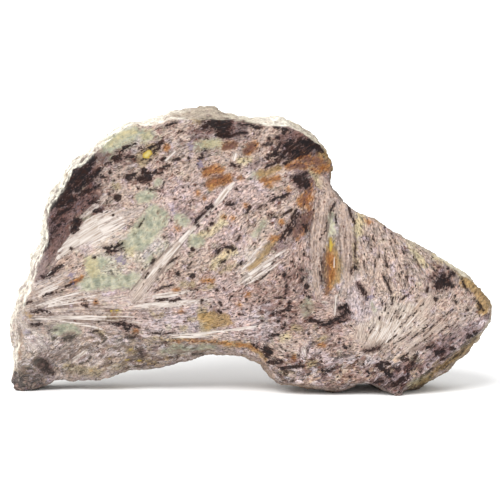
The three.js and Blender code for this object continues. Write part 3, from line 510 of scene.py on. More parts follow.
RAY_STROKES = (
    # rays of the left fan, and dull fibres beside the bright bundle and the blade
    (1.2, (-68, 35), (-62, 37.5), (-58, 39.5, 0.5)),
    (3.2, (-59.2, 46.6, 1.5), (-53.5, 50.6, 3.0), (-47.5, 54.2, 3.4), (-41, 57, 2.6),
     (-34, 59.6, 0.8)), (1.0, (-53, 57, 0.5), (-49.6, 60, 1.1), (-45.4, 63.6, 0.6)),
    (1.2, (-19, 52.4, 0.6), (-24, 47.2, 1.5), (-29.6, 40.6, 2.2), (-35, 33, 2.2)),
    *sheaf(5, 0.3, ((-66, 43), (-62.6, 50), (-58, 57)), ((-62, 42), (-58, 48), (-54, 55)), 127),
    *sheaf(6, 0.5, ((-70, 31), (-62, 34.4), (-54, 37)), ((-71, 27.4), (-62, 29), (-50, 31)), 101),
    *sheaf(7, 0.5, ((-71, 27), (-56, 28.8), (-36, 29.6)), ((-71, 25), (-56, 23.6), (-36, 23)), 103),
    *sheaf(5, 0.5, ((-44, 31), (-30, 33), (-16, 35)), ((-42, 26), (-28, 27), (-14, 30)), 105),
    (1.1, (-70, 28), (-64, 29.8), (-58, 31.3), (-52, 33), (-47, 33.5, 0.4)),
    (0.7, (-66, 25.2), (-55, 25), (-45, 24.9), (-35, 23.9)),
    (0.5, (-60, 26.6), (-50, 26.8), (-42, 26.2)),
    (0.9, (-37, 28.3, 0.4), (-32, 28.7), (-27, 29.3), (-22, 29.8), (-17, 30.7), (-12, 31.3, 0.4)),
    (0.45, (-33, 29.8), (-25, 30), (-19, 31)), (0.5, (-25, 33), (-20, 33.7)),
    (0.8, (-50, 31), (-44, 31.6), (-38, 32.6, 0.4)), (0.6, (-44, 29.2), (-39, 29.6), (-34, 30.6)),
    (2.2, (-31.5, 38, 1.0), (-32.5, 35.5, 1.7), (-34, 33, 1.9), (-36.4, 30.5, 1.0)),
    # facets of the bevel
    (0.9, (-59, 15.4, 0.5), (-56.4, 16.8), (-54, 18.2, 0.5)),
    *sheaf(6, 0.4, ((-66, 9.6), (-60, 15), (-56, 20)), ((-51, 7.6), (-45, 12.4), (-39, 18)), 123),
    (0.5, (-64.4, 11.8, 0.2), (-60, 13.6), (-55.5, 15.4, 0.2)),
    (0.5, (-50.4, 14.6, 0.2), (-46, 16.8, 0.2)), (0.45, (-41, 12.4, 0.2), (-37.4, 14.4, 0.2)),
    (0.4, (-30.6, 12.6, 0.2), (-26.6, 13.2, 0.2)), (0.5, (-47, 10.4, 0.2), (-43.4, 11.8, 0.2)),
    # dull fibres of the middle strips
    (1.3, (-4, 36.4, 0.8), (0, 38.8), (4, 42), (8, 44.6), (12, 46.6, 0.4)),
    (0.8, (-4, 39.8, 0.5), (0, 43.6), (3, 46.8), (5, 49.2, 0.3)),
)

# The grey upright bands.
BAND_STROKES = (
    (1.9, (24, 65, 0.9), (22.8, 60, 1.6), (21.9, 55, 2.2), (21.3, 50, 2.2), (20.9, 43, 1.5)),
    (1.4, (20.9, 43, 1.5), (21, 35, 1.2), (21.2, 31.8, 0.5)),
    (1.9, (28.8, 61, 0.8), (29.8, 56, 1.7), (30.6, 50, 2.1), (30.8, 43, 1.6), (30.6, 35, 0.8)),
    (0.5, (31.9, 53, 0.4), (32.1, 44), (31.8, 36, 0.3)),
    (1.2, (22.3, 69), (24.5, 66.5), (26.2, 64, 0.6)),
    (0.8, (26.6, 63, 0.4), (28.4, 59), (30, 56.5, 0.3)),
    (0.8, (37, 33, 0.3), (39.5, 39), (40, 44), (40.5, 49, 0.3)),
)

FAN_STROKES = (
    (1.5, (35, 19), (35.5, 22)), (1.9, (38, 17), (40, 21), (41, 25)),
    (2.2, (42, 19), (44, 23), (45.5, 27)), (2.2, (46, 21), (48.5, 25), (50, 28)),
    (1.9, (50, 24), (53, 28), (54.5, 30)), (1.4, (54, 27), (57, 31)),
    (1.6, (-22.4, 48.6, 0.7), (-27.6, 42.6, 1.5), (-33, 36, 2.0), (-36, 32.4, 1.4)),
    (1.1, (47, 18), (51, 21), (55, 24.5)), (0.9, (50, 15.5), (55, 19), (60, 23)),
)

LILAC_STROKES = (
    (1.6, (-69.6, 18.6, 0.8), (-67, 17.4, 1.8), (-64.4, 17, 1.5)),
    (1.3, (-55.4, 11, 0.6), (-53, 12.2), (-51, 13.6)), (0.9, (-60.8, 15.4), (-59.4, 17.4)),
    (0.9, (-47.5, 12.6), (-44.5, 14.2)), (0.8, (-41.5, 17.2), (-38.5, 17.8)),
    (0.7, (-36, 15.6), (-33.6, 16.8)), (0.7, (-29.5, 15.6), (-26.5, 16.6)),
    (0.6, (-20, 13.2), (-17, 14)), (1.3, (-52, 47), (-50, 48.5)), (0.7, (-38, 77.8), (-36, 78)),
    (0.8, (-34.5, 82), (-35, 80.5)), (1.0, (-20, 17), (-17, 16.5)),
    (1.2, (-19.5, 22.5), (-16, 22.3)), (1.4, (-25, 24.5), (-22, 24.8)),
    (0.8, (-18, 27), (-17, 27.8)), (1.8, (32, 34), (33, 31), (33.5, 28), (33, 26.5)),
    (1.0, (34, 38), (33.5, 33)), (1.9, (16.5, 14), (18, 15), (20, 14), (23, 13)),
    (0.9, (24, 12), (28, 11.5)), (0.9, (-0.5, 73), (0, 70)), (0.9, (1.5, 69), (3, 67.5)),
    (0.9, (47.5, 9.7), (48.5, 9.3)), (1.0, (66, 17.5), (68, 17)), (1.4, (72, 24), (73.5, 24.5)),
    (1.2, (-3, 24.5), (2, 26)), (1.0, (2, 28), (6, 29.5)), (1.3, (-33, 45), (-29, 49)),
    (0.9, (-54.2, 35), (-53.8, 35.1)),
)

BLUE_SPOTS = (
    (-56, 38.3, 0.8), (-41, 44, 1.2), (-70, 20.7, 0.9), (-18.4, 79.7, 1.0), (-24, 59.4, 0.8),
    (-15.7, 73.8, 0.9), (-55.2, 35.1, 0.5), (37.9, 31.8, 0.7), (-40.2, 43.6, 0.8),
)

YELLOW_STROKES = (
    (0.9, (-32.3, 76.6), (-31.5, 77.5)), (0.15, (-43.8, 27.5), (-41.6, 27.7)),
    *sheaf(5, 0.1, ((-46, 12), (-44, 12.2)), ((-32, 11), (-30, 11.2)), 131),
    (0.05, (-37.8, 14.8), (-36.8, 15.2)),
    (0.5, (25.3, 50.4, 0.2), (25.4, 48.4, 0.5), (25.3, 46.6, 0.2)),
)

# The mass between the minerals, as it looks in the studio light.
GROUND_TONES = {
    "rose": (204, 181, 174),
    "beige": (197, 176, 163),
    "warm grey": (186, 168, 157),
    "cool grey": (178, 164, 155),
    "cream": (217, 202, 189),
    "pale": (224, 211, 198),
    "dusky": (142, 121, 118),
    "umber": (112, 93, 90),
    "lilac": (194, 178, 177),
    "sage": (194, 188, 170),
    "bevel": (194, 178, 171),
    "low bevel": (170, 155, 143),
    "clay": (188, 164, 154),
    "ash": (158, 140, 133),
    "foot": (104, 96, 92),
}

# Where it lies: (x, z, reach, tone, streaks, specks).
GROUND_PATCHES = (
    (-66, 33, 6, "warm grey", 1.0, 0.1), (-60, 37, 5, "beige", 1.0, 0.15),
    (-62, 27, 6, "cool grey", 1.0, 0.1), (-50, 27, 6, "beige", 1.0, 0.15),
    (-52, 32, 6, "beige", 1.0, 0.2), (-40, 33, 6, "rose", 0.9, 0.1),
    (-36, 27, 6, "rose", 0.9, 0.25), (-28, 25, 5, "lilac", 0.8, 0.3),
    (-55, 43, 5, "beige", 0.8, 0.3), (-46, 41, 5, "sage", 0.4, 0.1),
    (-46, 50, 5, "cream", 1.0, 0.1), (-58, 58, 6, "umber", 0.3, 0.9),
    (-52, 67, 7, "umber", 0.2, 1.0), (-44, 68, 5, "warm grey", 0.4, 0.8),
    (-38, 67, 5, "beige", 0.4, 0.5), (-40, 74, 5, "warm grey", 0.4, 0.8),
    (-30, 73, 5, "beige", 0.5, 0.8), (-40, 81, 4, "sage", 0.2, 0.2),
    (-28, 83, 5, "beige", 0.3, 0.6), (-22, 72, 6, "beige", 0.4, 0.6),
    (-22, 79, 5, "warm grey", 0.4, 0.7), (-15, 85, 5, "warm grey", 0.3, 0.9),
    (-5, 85, 5, "dusky", 0.3, 0.9), (5, 84, 5, "beige", 0.3, 0.8), (-5, 77, 5, "beige", 0.4, 0.6),
    (5, 78, 5, "beige", 0.4, 0.8), (14, 80, 6, "dusky", 0.3, 1.0), (20, 76, 4, "umber", 0.4, 0.8),
    (-22, 64, 7, "rose", 0.4, 0.6), (-35, 60, 5, "beige", 0.4, 0.3), (-8, 62, 6, "rose", 0.5, 0.5),
    (2, 65, 6, "rose", 0.6, 0.5), (10, 69, 5, "beige", 0.5, 0.6), (-20, 52, 7, "rose", 0.4, 0.4),
    (-8, 51, 6, "rose", 0.6, 0.4), (4, 57, 6, "beige", 0.6, 0.6), (12, 59, 5, "beige", 0.6, 0.7),
    (-28, 46, 5, "sage", 0.4, 0.2), (-14, 44, 6, "beige", 0.5, 0.7),
    (-22, 38, 6, "beige", 0.5, 0.8), (-10, 36, 6, "rose", 0.6, 0.8), (2, 42, 5, "cream", 1.0, 0.2),
    (9, 38, 6, "clay", 0.5, 0.9), (15, 45, 5, "clay", 0.6, 0.8), (3, 32, 6, "clay", 0.4, 0.9),
    (13, 31, 6, "clay", 0.4, 1.1), (-3, 27, 6, "rose", 0.4, 0.7), (-20, 27, 5, "lilac", 0.6, 0.6),
    (5, 24, 6, "lilac", 0.5, 0.7), (15, 23, 6, "clay", 0.4, 1.0),
    (-14, 20, 5, "cool grey", 1.0, 0.5), (30, 5, 5, "beige", 0.2, 1.0),
    (20, 4, 5, "beige", 0.2, 1.0), (10, 15, 5, "beige", 0.4, 0.7),
    (22, 50, 5, "cool grey", 0.8, 0.1), (29, 50, 5, "cool grey", 0.8, 0.1),
    (20, 38, 4, "cool grey", 0.8, 0.3), (30, 40, 4, "cool grey", 0.8, 0.2),
    (35, 45, 5, "beige", 0.9, 0.35), (40, 50, 5, "beige", 0.9, 0.35),
    (44, 42, 6, "beige", 0.8, 0.4), (52, 42, 5, "warm grey", 0.8, 0.5),
    (50, 35, 6, "beige", 0.7, 0.5), (60, 37, 5, "ash", 0.5, 0.8), (60, 30, 6, "beige", 0.7, 0.6),
    (68, 29, 5, "warm grey", 0.6, 0.7), (38, 36, 5, "beige", 0.7, 0.4),
    (38, 28, 5, "lilac", 0.5, 0.3), (42, 23, 6, "pale", 1.0, 0.4), (50, 25, 6, "pale", 1.0, 0.45),
    (57, 24, 5, "beige", 1.0, 0.4), (64, 23, 5, "warm grey", 0.8, 0.6),
    (70, 22, 4, "lilac", 0.6, 0.6), (52, 17, 6, "warm grey", 0.9, 0.4),
    (60, 16, 5, "dusky", 0.6, 0.7), (46, 13, 5, "warm grey", 0.7, 0.5),
    (46, 7, 5, "dusky", 0.4, 0.9), (36, 17, 5, "beige", 0.5, 0.5), (33, 10, 6, "ash", 0.3, 0.8),
    (24, 17, 6, "clay", 0.4, 0.8), (24, 10, 6, "ash", 0.2, 0.9), (14, 8, 5, "ash", 0.2, 0.8),
    (18, 18, 5, "beige", 0.4, 0.6), (-66, 14, 6, "bevel", 0.6, 0.3),
    (-56, 13, 6, "bevel", 0.9, 0.3), (-45, 15, 6, "bevel", 0.9, 0.3),
    (-35, 15, 6, "low bevel", 0.7, 0.5), (-22, 15, 5, "low bevel", 0.7, 0.6),
    (-71, 3, 5, "foot", 0.3, 0.7), (-58, 20, 4, "bevel", 0.6, 0.3), (-48, 20, 4, "bevel", 0.7, 0.5),
)

# Which way the fibres run: (x, z, reach, degrees above the x axis, measured towards z).
GRAIN_GUIDES = (
    (-66, 25, 5, -2), (-55, 26, 5, 0), (-45, 26, 5, -2), (-35, 25, 5, -4), (-65, 29, 4, 10),
    (-55, 31, 5, 12), (-46, 33, 5, 8), (-38, 31, 5, 12), (-36, 36, 4, 18), (-66, 34, 4, 22),
    (-60, 38, 4, 26), (-54, 40, 4, 30), (-65, 42, 4, 50), (-56, 48, 4, 38), (-50, 52, 4, 34),
    (-42, 56, 4, 27), (-48, 61, 4, 40), (-55, 68, 6, 45), (-45, 72, 6, 28), (-35, 76, 6, 18),
    (-30, 83, 6, 25), (-25, 72, 6, 35), (-15, 80, 6, 20), (-5, 84, 6, 8), (5, 80, 6, 35),
    (14, 79, 5, 38), (-25, 62, 6, 38), (-12, 68, 6, 30), (-8, 63, 3, 50), (-16, 55, 3, 47),
    (-24, 46, 3, 48), (-31, 38, 3, 52), (-35, 48, 5, 40), (-20, 50, 5, 42), (-5, 55, 5, 42),
    (-8, 44, 5, 42), (-20, 40, 5, 30), (-25, 30, 5, 5), (-15, 31, 5, 8), (-5, 36, 5, 30),
    (2, 40, 4, 36), (8, 45, 4, 34), (3, 47, 4, 50), (5, 58, 5, 35), (12, 63, 5, 30),
    (10, 70, 5, 25), (12, 54, 4, 62), (17, 58, 4, 75), (18, 65, 4, 60), (5, 32, 6, 25),
    (12, 38, 5, 50), (17, 42, 4, 80), (21, 40, 3, 90), (21, 50, 3, 86), (23, 62, 3, 78),
    (26, 50, 3, 90), (29, 45, 3, 92), (33, 50, 4, 98), (34, 40, 4, 95), (38, 48, 4, 110),
    (43, 43, 4, 108), (42, 36, 4, 112), (50, 45, 4, 120), (57, 41, 4, 128), (50, 38, 4, 100),
    (58, 35, 4, 95), (35, 30, 4, 88), (40, 27, 4, 75), (44, 30, 4, 78), (48, 25, 4, 56),
    (53, 28, 4, 55), (60, 30, 4, 60), (58, 24, 4, 42), (66, 26, 4, 42), (70, 30, 4, 60),
    (66, 20, 4, 36), (56, 18, 4, 38), (50, 14, 4, 38), (44, 16, 4, 45), (40, 20, 4, 65),
    (46, 7, 5, 40), (36, 15, 5, 20), (25, 12, 6, 15), (12, 25, 6, 15), (0, 24, 6, 12),
    (-14, 20, 4, 0), (0, 20, 4, 10), (-10, 25, 5, 20), (24, 24, 4, 10), (10, 14, 5, -12),
    (4, 15, 4, -25), (-66, 18, 3, -28), (-60, 19, 4, 20), (-62, 12, 5, 45), (-50, 14, 5, 38),
    (-38, 14, 5, 30), (-25, 15, 5, 12), (-14, 16, 5, 6), (-73, 15, 2, 82), (-71, 5, 4, 15),
    (-50, 19, 4, 25),
)

# The weathered crust behind the face. A tone above 255 makes up for the dimmer light there.
CRUST_TONES = {
    # pale crust brightened into a painted glare, for the left and top rim
    "pale glare": (286, 280, 262),
    "chalk": (250, 240, 218),
    "buff": (214, 200, 180),
    "tan": (184, 162, 140),
    "ochre": (176, 150, 108),
    "olive": (158, 144, 112),
    "drab": (162, 148, 138),
    "soot": (104, 96, 90),
}

# Where it lies, in the same places: (x, z, reach, tone).
CRUST_PATCHES = (
    # along the left and top rim the crust is brightened into a painted glare
    (-75, 26, 10, "pale glare"), (-72, 40, 9, "pale glare"), (-64, 55, 9, "pale glare"),
    (-56, 72, 8, "pale glare"), (-45, 84, 8, "pale glare"), (-30, 90, 8, "pale glare"),
    (-12, 92, 7, "buff"), (-3, 90, 6, "chalk"), (8, 90, 7, "pale glare"), (20, 86, 6, "chalk"),
    (27, 76, 6, "ochre"), (28, 64, 6, "drab"), (40, 57, 8, "tan"), (52, 49, 8, "buff"),
    (64, 42, 7, "chalk"), (74, 32, 6, "ochre"), (75, 24, 6, "buff"), (68, 14, 7, "olive"),
    (56, 4, 7, "olive"), (46, 1, 6, "drab"), (30, 3, 9, "drab"), (12, 5, 7, "tan"),
    (-5, 15, 8, "tan"), (-25, 12, 9, "drab"), (-45, 8, 9, "buff"), (-60, 6, 7, "drab"),
    (-72, 2, 7, "soot"), (-76, 12, 6, "pale glare"),
)

THICK = 0.7  # mm, half the width of a dark stroke that breaks up into grains
BROAD_DARK_STROKES = tuple(stroke for stroke in DARK_STROKES if stroke[0] >= THICK)
THIN_DARK_STROKES = tuple(stroke for stroke in DARK_STROKES if stroke[0] < THICK)

# Which strokes and spots make which mineral.
MINERALS = {
    "dark": (BROAD_DARK_STROKES, ()),
    "needle": (NEEDLE_STROKES + THIN_DARK_STROKES, DARK_SPOTS),
    "thread": (THREAD_STROKES, ()),
    "umber": (UMBER_STROKES, ()),
    "purple": (PURPLE_STROKES, ()),
    "green": (GREEN_STROKES, ()),
    "straw": (STRAW_STROKES, ()),
    "olive": (OLIVE_STROKES, ()),
    "gold": (GOLD_STROKES, GOLD_SPOTS),
    "orange": (ORANGE_STROKES, ORANGE_SPOTS),
    "silk": (SILK_STROKES, ()),
    "ray": (RAY_STROKES, ()),
    "band": (BAND_STROKES, ()),
    "fan": (FAN_STROKES, ()),
    "lilac": (LILAC_STROKES, ()),
    "blue": ((), BLUE_SPOTS),
    "yellow": (YELLOW_STROKES, ()),
}
FIBROUS = ("ray", "band", "fan", "silk")  # minerals whose fibres follow their strokes

# Tones of veils, grains and stains, as they look in the studio light.
TONES = {
    "rosy veil": (206, 172, 160),
    "grey veil": (172, 158, 156),
    "cream veil": (214, 196, 180),
    "lilac veil": (206, 190, 202),
    "peach veil": (210, 178, 162),
    "mossy veil": (188, 184, 156),
    "pale slab": (212, 200, 200),
    "tan slab": (176, 154, 128),
    "dark leaf": (158, 164, 142),
    "pale leaf": (206, 204, 178),
    "brown patch": (126, 92, 86),
    "flame edge": (184, 136, 94),
    "flame glow": (222, 166, 98),
    "ember": (96, 58, 44),
    "silk shade": (182, 162, 146),
    "fan shade": (150, 128, 114),
    "thread": (100, 76, 68),
    "cold black": (28, 22, 24),
    "warm black": (42, 24, 20),
    "rusty black": (112, 72, 62),
    "glint": (132, 112, 112),
    "amber glow": (240, 228, 160),
    "crust rust": (150, 120, 84),
    "crust pore": (100, 84, 74),
}

# What a darkened place keeps of its red, green and blue. The gaps between slabs and the hollows of
# the crust take a painted shade; the others are dark rims, specks and cracks of the minerals.
SHADES = {
    "pinch": (0.36, 0.28, 0.26),
    # painted shade in the gaps between broken slabs
    "slab_gap_shade": (0.46, 0.36, 0.34),
    "crack": (0.42, 0.34, 0.32),
    "halo": (0.45, 0.36, 0.35),
    "needle rim": (0.5, 0.4, 0.36),
    "yellow rim": (0.5, 0.42, 0.36),
    # painted shade in the hollows of the crust
    "hollow_shade": (0.5, 0.42, 0.36),
}
COOL_CAST = (0.96, 0.99, 1.04)    # what the coolest grains make of a colour
WARM_CAST = (1.04, 1.0, 0.94)     # and the warmest

FIELD_REACH = 3.0                 # mm, how far outside a stroke its field is still worked out
LOWEST_TURN = math.radians(-30)   # the fibres turn between this and half a turn more
PATCH_CORE = 0.15                 # softens the middle of a patch
PATCH_FALL = 3                    # how sharply one patch gives way to the next
DEPTH_FLARE = 700.0               # mm of depth over which the pattern would double its width
DEPTH_RISE = 0.14                 # how far the pattern climbs for each mm of depth
WANDER = 9                        # mm, how far the pattern strays at the back
FRAY = 1.6                        # mm, how ragged the patches of the ground are
STRAY_SIDE = 8                    # mm, how ragged those of the crust are at the sides
STRAY_BACK = 16                   # mm more, at the back
SPILL = 5                         # mm that the minerals reach round the rim here and there
SWING = 4.5                       # brings the noise texture to about -1 to 1
BUNDLE_TURN = math.radians(8)     # from one bundle of fibres to the next
RIBBON_TURN = math.radians(4)     # and from one long ribbon to the next
DIMMEST = 0.25                    # least share of its tone that a dark fibre keeps
DIMMEST_CRUST = 0.2               # and that a stained place on the crust keeps
PAINTED_GLINT = 1.5                       # how much brighter than its tone a chip with a painted glint is

# Noises of the mesh: size of a feature in mm, seed, octaves.
NOISES = {
    "wander": (16, 3.7, 2),
    "fray": (3.2, 11.3, 2),
    "stray": (22, 67.7, 3),
    "lump": (6.5, 23.9, 3),
    "splinter": (1.7, 31.1, 2),
    "pit": (2.3, 47.3, 2),
    "ledge": (9, 59.1, 3),
    "groove": (6, 118.2, 2),
}
NOISE_FALL = 0.8                  # how fast finer octaves fade
NOISE_STEP = 2.1                  # how much finer each octave is


def smoothstep(value, low, high):
    """0 at low and beyond it, 1 at high and beyond it, and a smooth climb between them."""
    share = np.clip((value - low) / (high - low), 0, 1)
    return share * share * (3 - 2 * share)


def noise_at(points, name, turn=1):
    """Fractal noise of about -1 to 1, at points in mm. Each turn gives another noise."""
    size, seed, octaves = NOISES[name]
    seed *= turn
    shift = Vector((seed, 1.7 * seed, 0.6 * seed))
    return np.array(
        [noise.fractal(Vector(p) / size + shift, NOISE_FALL, NOISE_STEP, octaves) for p in points]
    )


def stroke_field(places, strokes, spots):
    """How deep each place lies inside the nearest stroke, in mm, and which way that stroke
    runs there. A depth below zero is outside."""
    field = np.full(len(places), -FIELD_REACH)
    lay = np.zeros(len(places))
    runs = [(half_width, corners) for half_width, *corners in strokes]
    runs += [(radius, [(x, z)]) for x, z, radius in spots]
    for half_width, corners in runs:
        for start, end in zip(corners, corners[1:] or corners):
            width_a = start[2] if len(start) == 3 else half_width
            width_b = end[2] if len(end) == 3 else half_width
            a, b = np.array(start[:2], float), np.array(end[:2], float)
            margin = FIELD_REACH + max(width_a, width_b)
            low, high = np.minimum(a, b) - margin, np.maximum(a, b) + margin
            near = np.flatnonzero(((places > low) & (places < high)).all(1))
            run = b - a
            offset = places[near] - a
            share = np.clip(offset @ run / max(run @ run, 1e-9), 0, 1)
            distance = np.linalg.norm(offset - share[:, None] * run, axis=1)
            inside = width_a + (width_b - width_a) * share - distance
            nearer = inside > field[near]
            field[near[nearer]] = inside[nearer]
            turn = (math.atan2(run[1], run[0]) - LOWEST_TURN) % math.pi + LOWEST_TURN
            lay[near[nearer]] = turn
    return field, lay


def blend_patches(places, patches, values):
    """The values of the patches around each place, blended by how close they are."""
    total = np.zeros((len(places), values.shape[1]))
    weights = np.full(len(places), 1e-9)
    for (x, z, reach, *_), value in zip(patches, values):
        distance = np.hypot(places[:, 0] - x, places[:, 1] - z) / reach
        weight = 1 / (PATCH_CORE + distance**2) ** PATCH_FALL
        total += weight[:, None] * value
        weights += weight
    return total / weights[:, None]


def linear(tone, gain=1.0):
    """A colour of 0 to 255, as seen, as the linear colour that the light brings up to it."""
    share = np.array(tone, float) / 255
    straight = np.where(share <= 0.04045, share / 12.92, ((share + 0.055) / 1.055) ** 2.4)
    return straight / gain


# ------------------------------
# Shader maths
# ------------------------------


class Signal:
    """A shader socket that takes part in ordinary expressions."""

    def __init__(self, shader, socket):
        self.shader = shader
        self.socket = socket

    def maths(self, operation, *values):
        sockets = dict(enumerate(values))
        return self.shader.node("ShaderNodeMath", {"operation": operation}, sockets)

    def __add__(self, other):
        return self.maths("ADD", self, other)

    def __sub__(self, other):
        return self.maths("SUBTRACT", self, other)

    def __rsub__(self, other):
        return self.maths("SUBTRACT", other, self)

    def __mul__(self, other):
        return self.maths("MULTIPLY", self, other)

    def __truediv__(self, other):
        return self.maths("DIVIDE", self, other)

    def __abs__(self):
        return self.maths("ABSOLUTE", self)

    def at_least(self, floor):
        return self.maths("MAXIMUM", self, floor)

    def at_most(self, ceiling):
        return self.maths("MINIMUM", self, ceiling)

    __radd__ = __add__
    __rmul__ = __mul__


class Shader:
    """Builds one material's nodes."""

    def __init__(self, name):
        self.material = bpy.data.materials.new(name)
        self.material.use_nodes = True
        self.tree = self.material.node_tree
        self.tree.nodes.clear()

    def node(self, kind, settings=None, sockets=None, output=0):
        """Adds a node, with its settings first and then its sockets' values and links."""
        made = self.tree.nodes.new(kind)
        for name, value in (settings or {}).items():
            setattr(made, name, value)
        for name, value in (sockets or {}).items():
            if isinstance(value, Signal):
                self.tree.links.new(value.socket, made.inputs[name])
            else:
                made.inputs[name].default_value = value
        return Signal(self, made.outputs[output]) if made.outputs else None

    def attribute(self, name, output="Fac"):
        return self.node("ShaderNodeAttribute", {"attribute_name": name}, {}, output)

    def step(self, value, low, high):
        """0 at low and beyond it, 1 at high and beyond it, and a smooth climb between them."""
        sockets = {"Value": value, "From Min": low, "From Max": high}
        return self.node("ShaderNodeMapRange", {"interpolation_type": "SMOOTHSTEP"}, sockets)

    def mix(self, share, first, second):
        """From the first colour to the second."""
        ends = [end if isinstance(end, Signal) else (*end, 1) for end in (first, second)]
        sockets = {0: share, 6: ends[0], 7: ends[1]}
        return self.node("ShaderNodeMix", {"data_type": "RGBA"}, sockets, 2)

    def scale(self, vector, factor):
        sockets = {0: vector, "Scale": factor}
        return self.node("ShaderNodeVectorMath", {"operation": "SCALE"}, sockets)

    def product(self, first, second):
        sockets = {0: first, 1: second}
        return self.node("ShaderNodeVectorMath", {"operation": "MULTIPLY"}, sockets)

    def add(self, first, second):
        return self.node("ShaderNodeVectorMath", {"operation": "ADD"}, {0: first, 1: second})

    def noise(self, vector, scale, detail, roughness=0.5):
        """Noise that swings about zero and seldom passes 1 or -1."""
        sockets = {"Vector": vector, "Scale": scale, "Detail": detail, "Roughness": roughness}
        return (self.node("ShaderNodeTexNoise", {}, sockets) - 0.5) * SWING

    def bend(self, place, size, reach):
        """Moves each place by up to about reach mm, in waves of about size mm."""
        sockets = {"Vector": place, "Scale": 1 / size, "Detail": 2.0}
        waves = self.node("ShaderNodeTexNoise", {}, sockets, "Color")
        centred = self.add(waves, (-0.5, -0.5, -0.5))
        return self.add(place, self.scale(centred, 4 * reach))

    def cells(self, vector):
        """Round cells: the distance from the middle of each, and three chances of 0 to 1."""
        distance = self.node("ShaderNodeTexVoronoi", {}, {"Vector": vector, "Scale": 1.0})
        picks = distance.socket.node.outputs["Color"]
        split = self.node("ShaderNodeSeparateColor", {}, {"Color": Signal(self, picks)})
        return distance, *[Signal(self, out) for out in split.socket.node.outputs]

    def set_surface(self, sockets):
        """Ends the material with a surface that has these sockets."""
        surface = self.node("ShaderNodeBsdfPrincipled", {}, sockets)
        self.node("ShaderNodeOutputMaterial", {}, {"Surface": surface})


class Grain:
    """Patterns drawn out along the fibres. All over one bundle the turn is the same, so that
    nothing is sheared, and neighbouring bundles meet in ragged seams."""

    def __init__(self, shader, place, angle, step, ragged):
        self.shader = shader
        turns = angle / step + ragged
        bundle = turns.maths("ROUND", turns) * step
        sockets = {"Vector": place, "Angle": bundle}
        self.turned = shader.node("ShaderNodeVectorRotate", {"rotation_type": "Y_AXIS"}, sockets)

    def stretched(self, along, across, shift):
        """Coordinates in which along by across mm is one unit."""
        sized = self.shader.product(self.turned, (1 / along, 1 / across, 1 / across))
        return self.shader.add(sized, (shift, shift, shift))

    def noise(self, along, across, detail, roughness=0.5, shift=0.0):
        return self.shader.noise(self.stretched(along, across, shift), 1.0, detail, roughness)

    def cells(self, along, across, shift=0.0):
        return self.shader.cells(self.stretched(along, across, shift))


# ------------------------------
# Settings
# ------------------------------


def length(name, description, default):
    return bpy.props.FloatProperty(
        name=name, description=description, default=default, min=0, unit="LENGTH", precision=5
    )


def strength(name, description, default):
    return bpy.props.FloatProperty(name=name, description=description, default=default, min=0)


def tint(name, description, *tone):
    return bpy.props.FloatVectorProperty(
        name=name,
        description=description,
        default=[value / 255 for value in tone],
        min=0,
        max=1,
        subtype="COLOR_GAMMA",
    )


class StoneShape(bpy.types.PropertyGroup):
    """Sizes of the stone's fine surface."""

    mesh_size: length("Mesh size", "Edge of a mesh face on the crust", 0.00078)
    lump_relief: length("Lumps", "How far the crust swells and sinks", 0.0006)
    ledge_relief: length("Ledges", "Height of the broken ledges on the back", 0.0017)
    splinter_relief: length("Splinters", "Height of the broken fibres", 0.0005)
    pit_relief: length("Pits", "Depth of the small pits", 0.00025)


class StoneColours(bpy.types.PropertyGroup):
    """Colours of the minerals, as they look in the studio light."""

    brown: tint("Dark brown", "Thin or worn dark mineral", 100, 76, 70)
    umber: tint("Umber", "Streaks of dark brown", 108, 80, 74)
    purple: tint("Purple", "Mottled purple brown", 126, 106, 108)
    straw: tint("Straw", "Yellow green feldspar", 206, 192, 148)
    olive: tint("Olive", "Olive stain", 158, 142, 106)
    gold: tint("Gold", "Golden tinaksite", 166, 136, 90)
    orange: tint("Orange", "Orange brown tinaksite", 156, 96, 48)
    silk: tint("Silk", "Bright silky fibres", 250, 240, 232)
    ray: tint("Ray", "Dull pale fibres of the rays", 206, 190, 180)
    band: tint("Band", "Grey fibres of the upright bands", 203, 180, 166)
    fan: tint("Fan", "Pale fibres of the fan", 228, 211, 196)
    lilac: tint("Lilac", "Pale lilac charoite", 206, 191, 194)
    blue: tint("Blue", "Blue grey grains", 140, 130, 152)
    yellow: tint("Yellow", "The bright yellow grain", 206, 176, 70)


class StudioSettings(bpy.types.PropertyGroup):
    """The camera, the floor and the light."""

    distance: length("Distance", "From the camera to the sawn face", 0.7)
    elevation: bpy.props.FloatProperty(
        name="Elevation",
        description="How far above the horizontal the camera looks from",
        default=math.radians(8),
        subtype="ANGLE",
    )
    aim_side: length("Aim side", "How far right of the middle the camera looks", 0.00008)
    aim_height: length("Aim height", "Height that the camera looks at", 0.0469)
    lens: bpy.props.FloatProperty(
        name="Lens",
        description="Focal length in mm on a 36 mm sensor",
        default=160.61,
        unit="CAMERA",
    )
    floor: tint("Floor", "The plain pale floor", 246, 246, 246)
    sky: strength("Sky", "Strength of the even white surroundings", 1.0)
    key: strength("Key light", "Strength of the soft light from the front", 2.0)
    side: strength("Side light", "Strength of the soft light from the left", 1.5)
    gain: strength("Gain", "How much brighter than its own colour the sawn face looks", 1.75)


# ------------------------------
# The stone
# ------------------------------

WELD_REACH = 0.001                # mm between points of the solid that are one point
FLAT_REACH = 0.35                 # mesh sizes behind the plane that are drawn into it
FORWARD = -0.8                    # the normal's y of a point that looks forward is below this
FACE_SKIN = 0.05                  # mm behind the plane that still belong to the sawn face
CRUST_GAP = 0.02                  # mm that the crust stays behind the plane
SMOOTHINGS = 2                    # rounds that wear down the steps of the even mesh
GRAIN_STRETCH = (0.35, 1.0, 1.0)  # draws splinters out along x
LEDGE_STRETCH = (0.55, 1.0, 1.0)  # and ledges along their own tilted lines
GROOVE_STRETCH = (0.5, 1.0, 1.0)  # and the grooves between the ledges
LEDGE_TILT = np.array([[0.8, 0.0, 0.6], [0.0, 1.0, 0.0], [-0.6, 0.0, 0.8]])


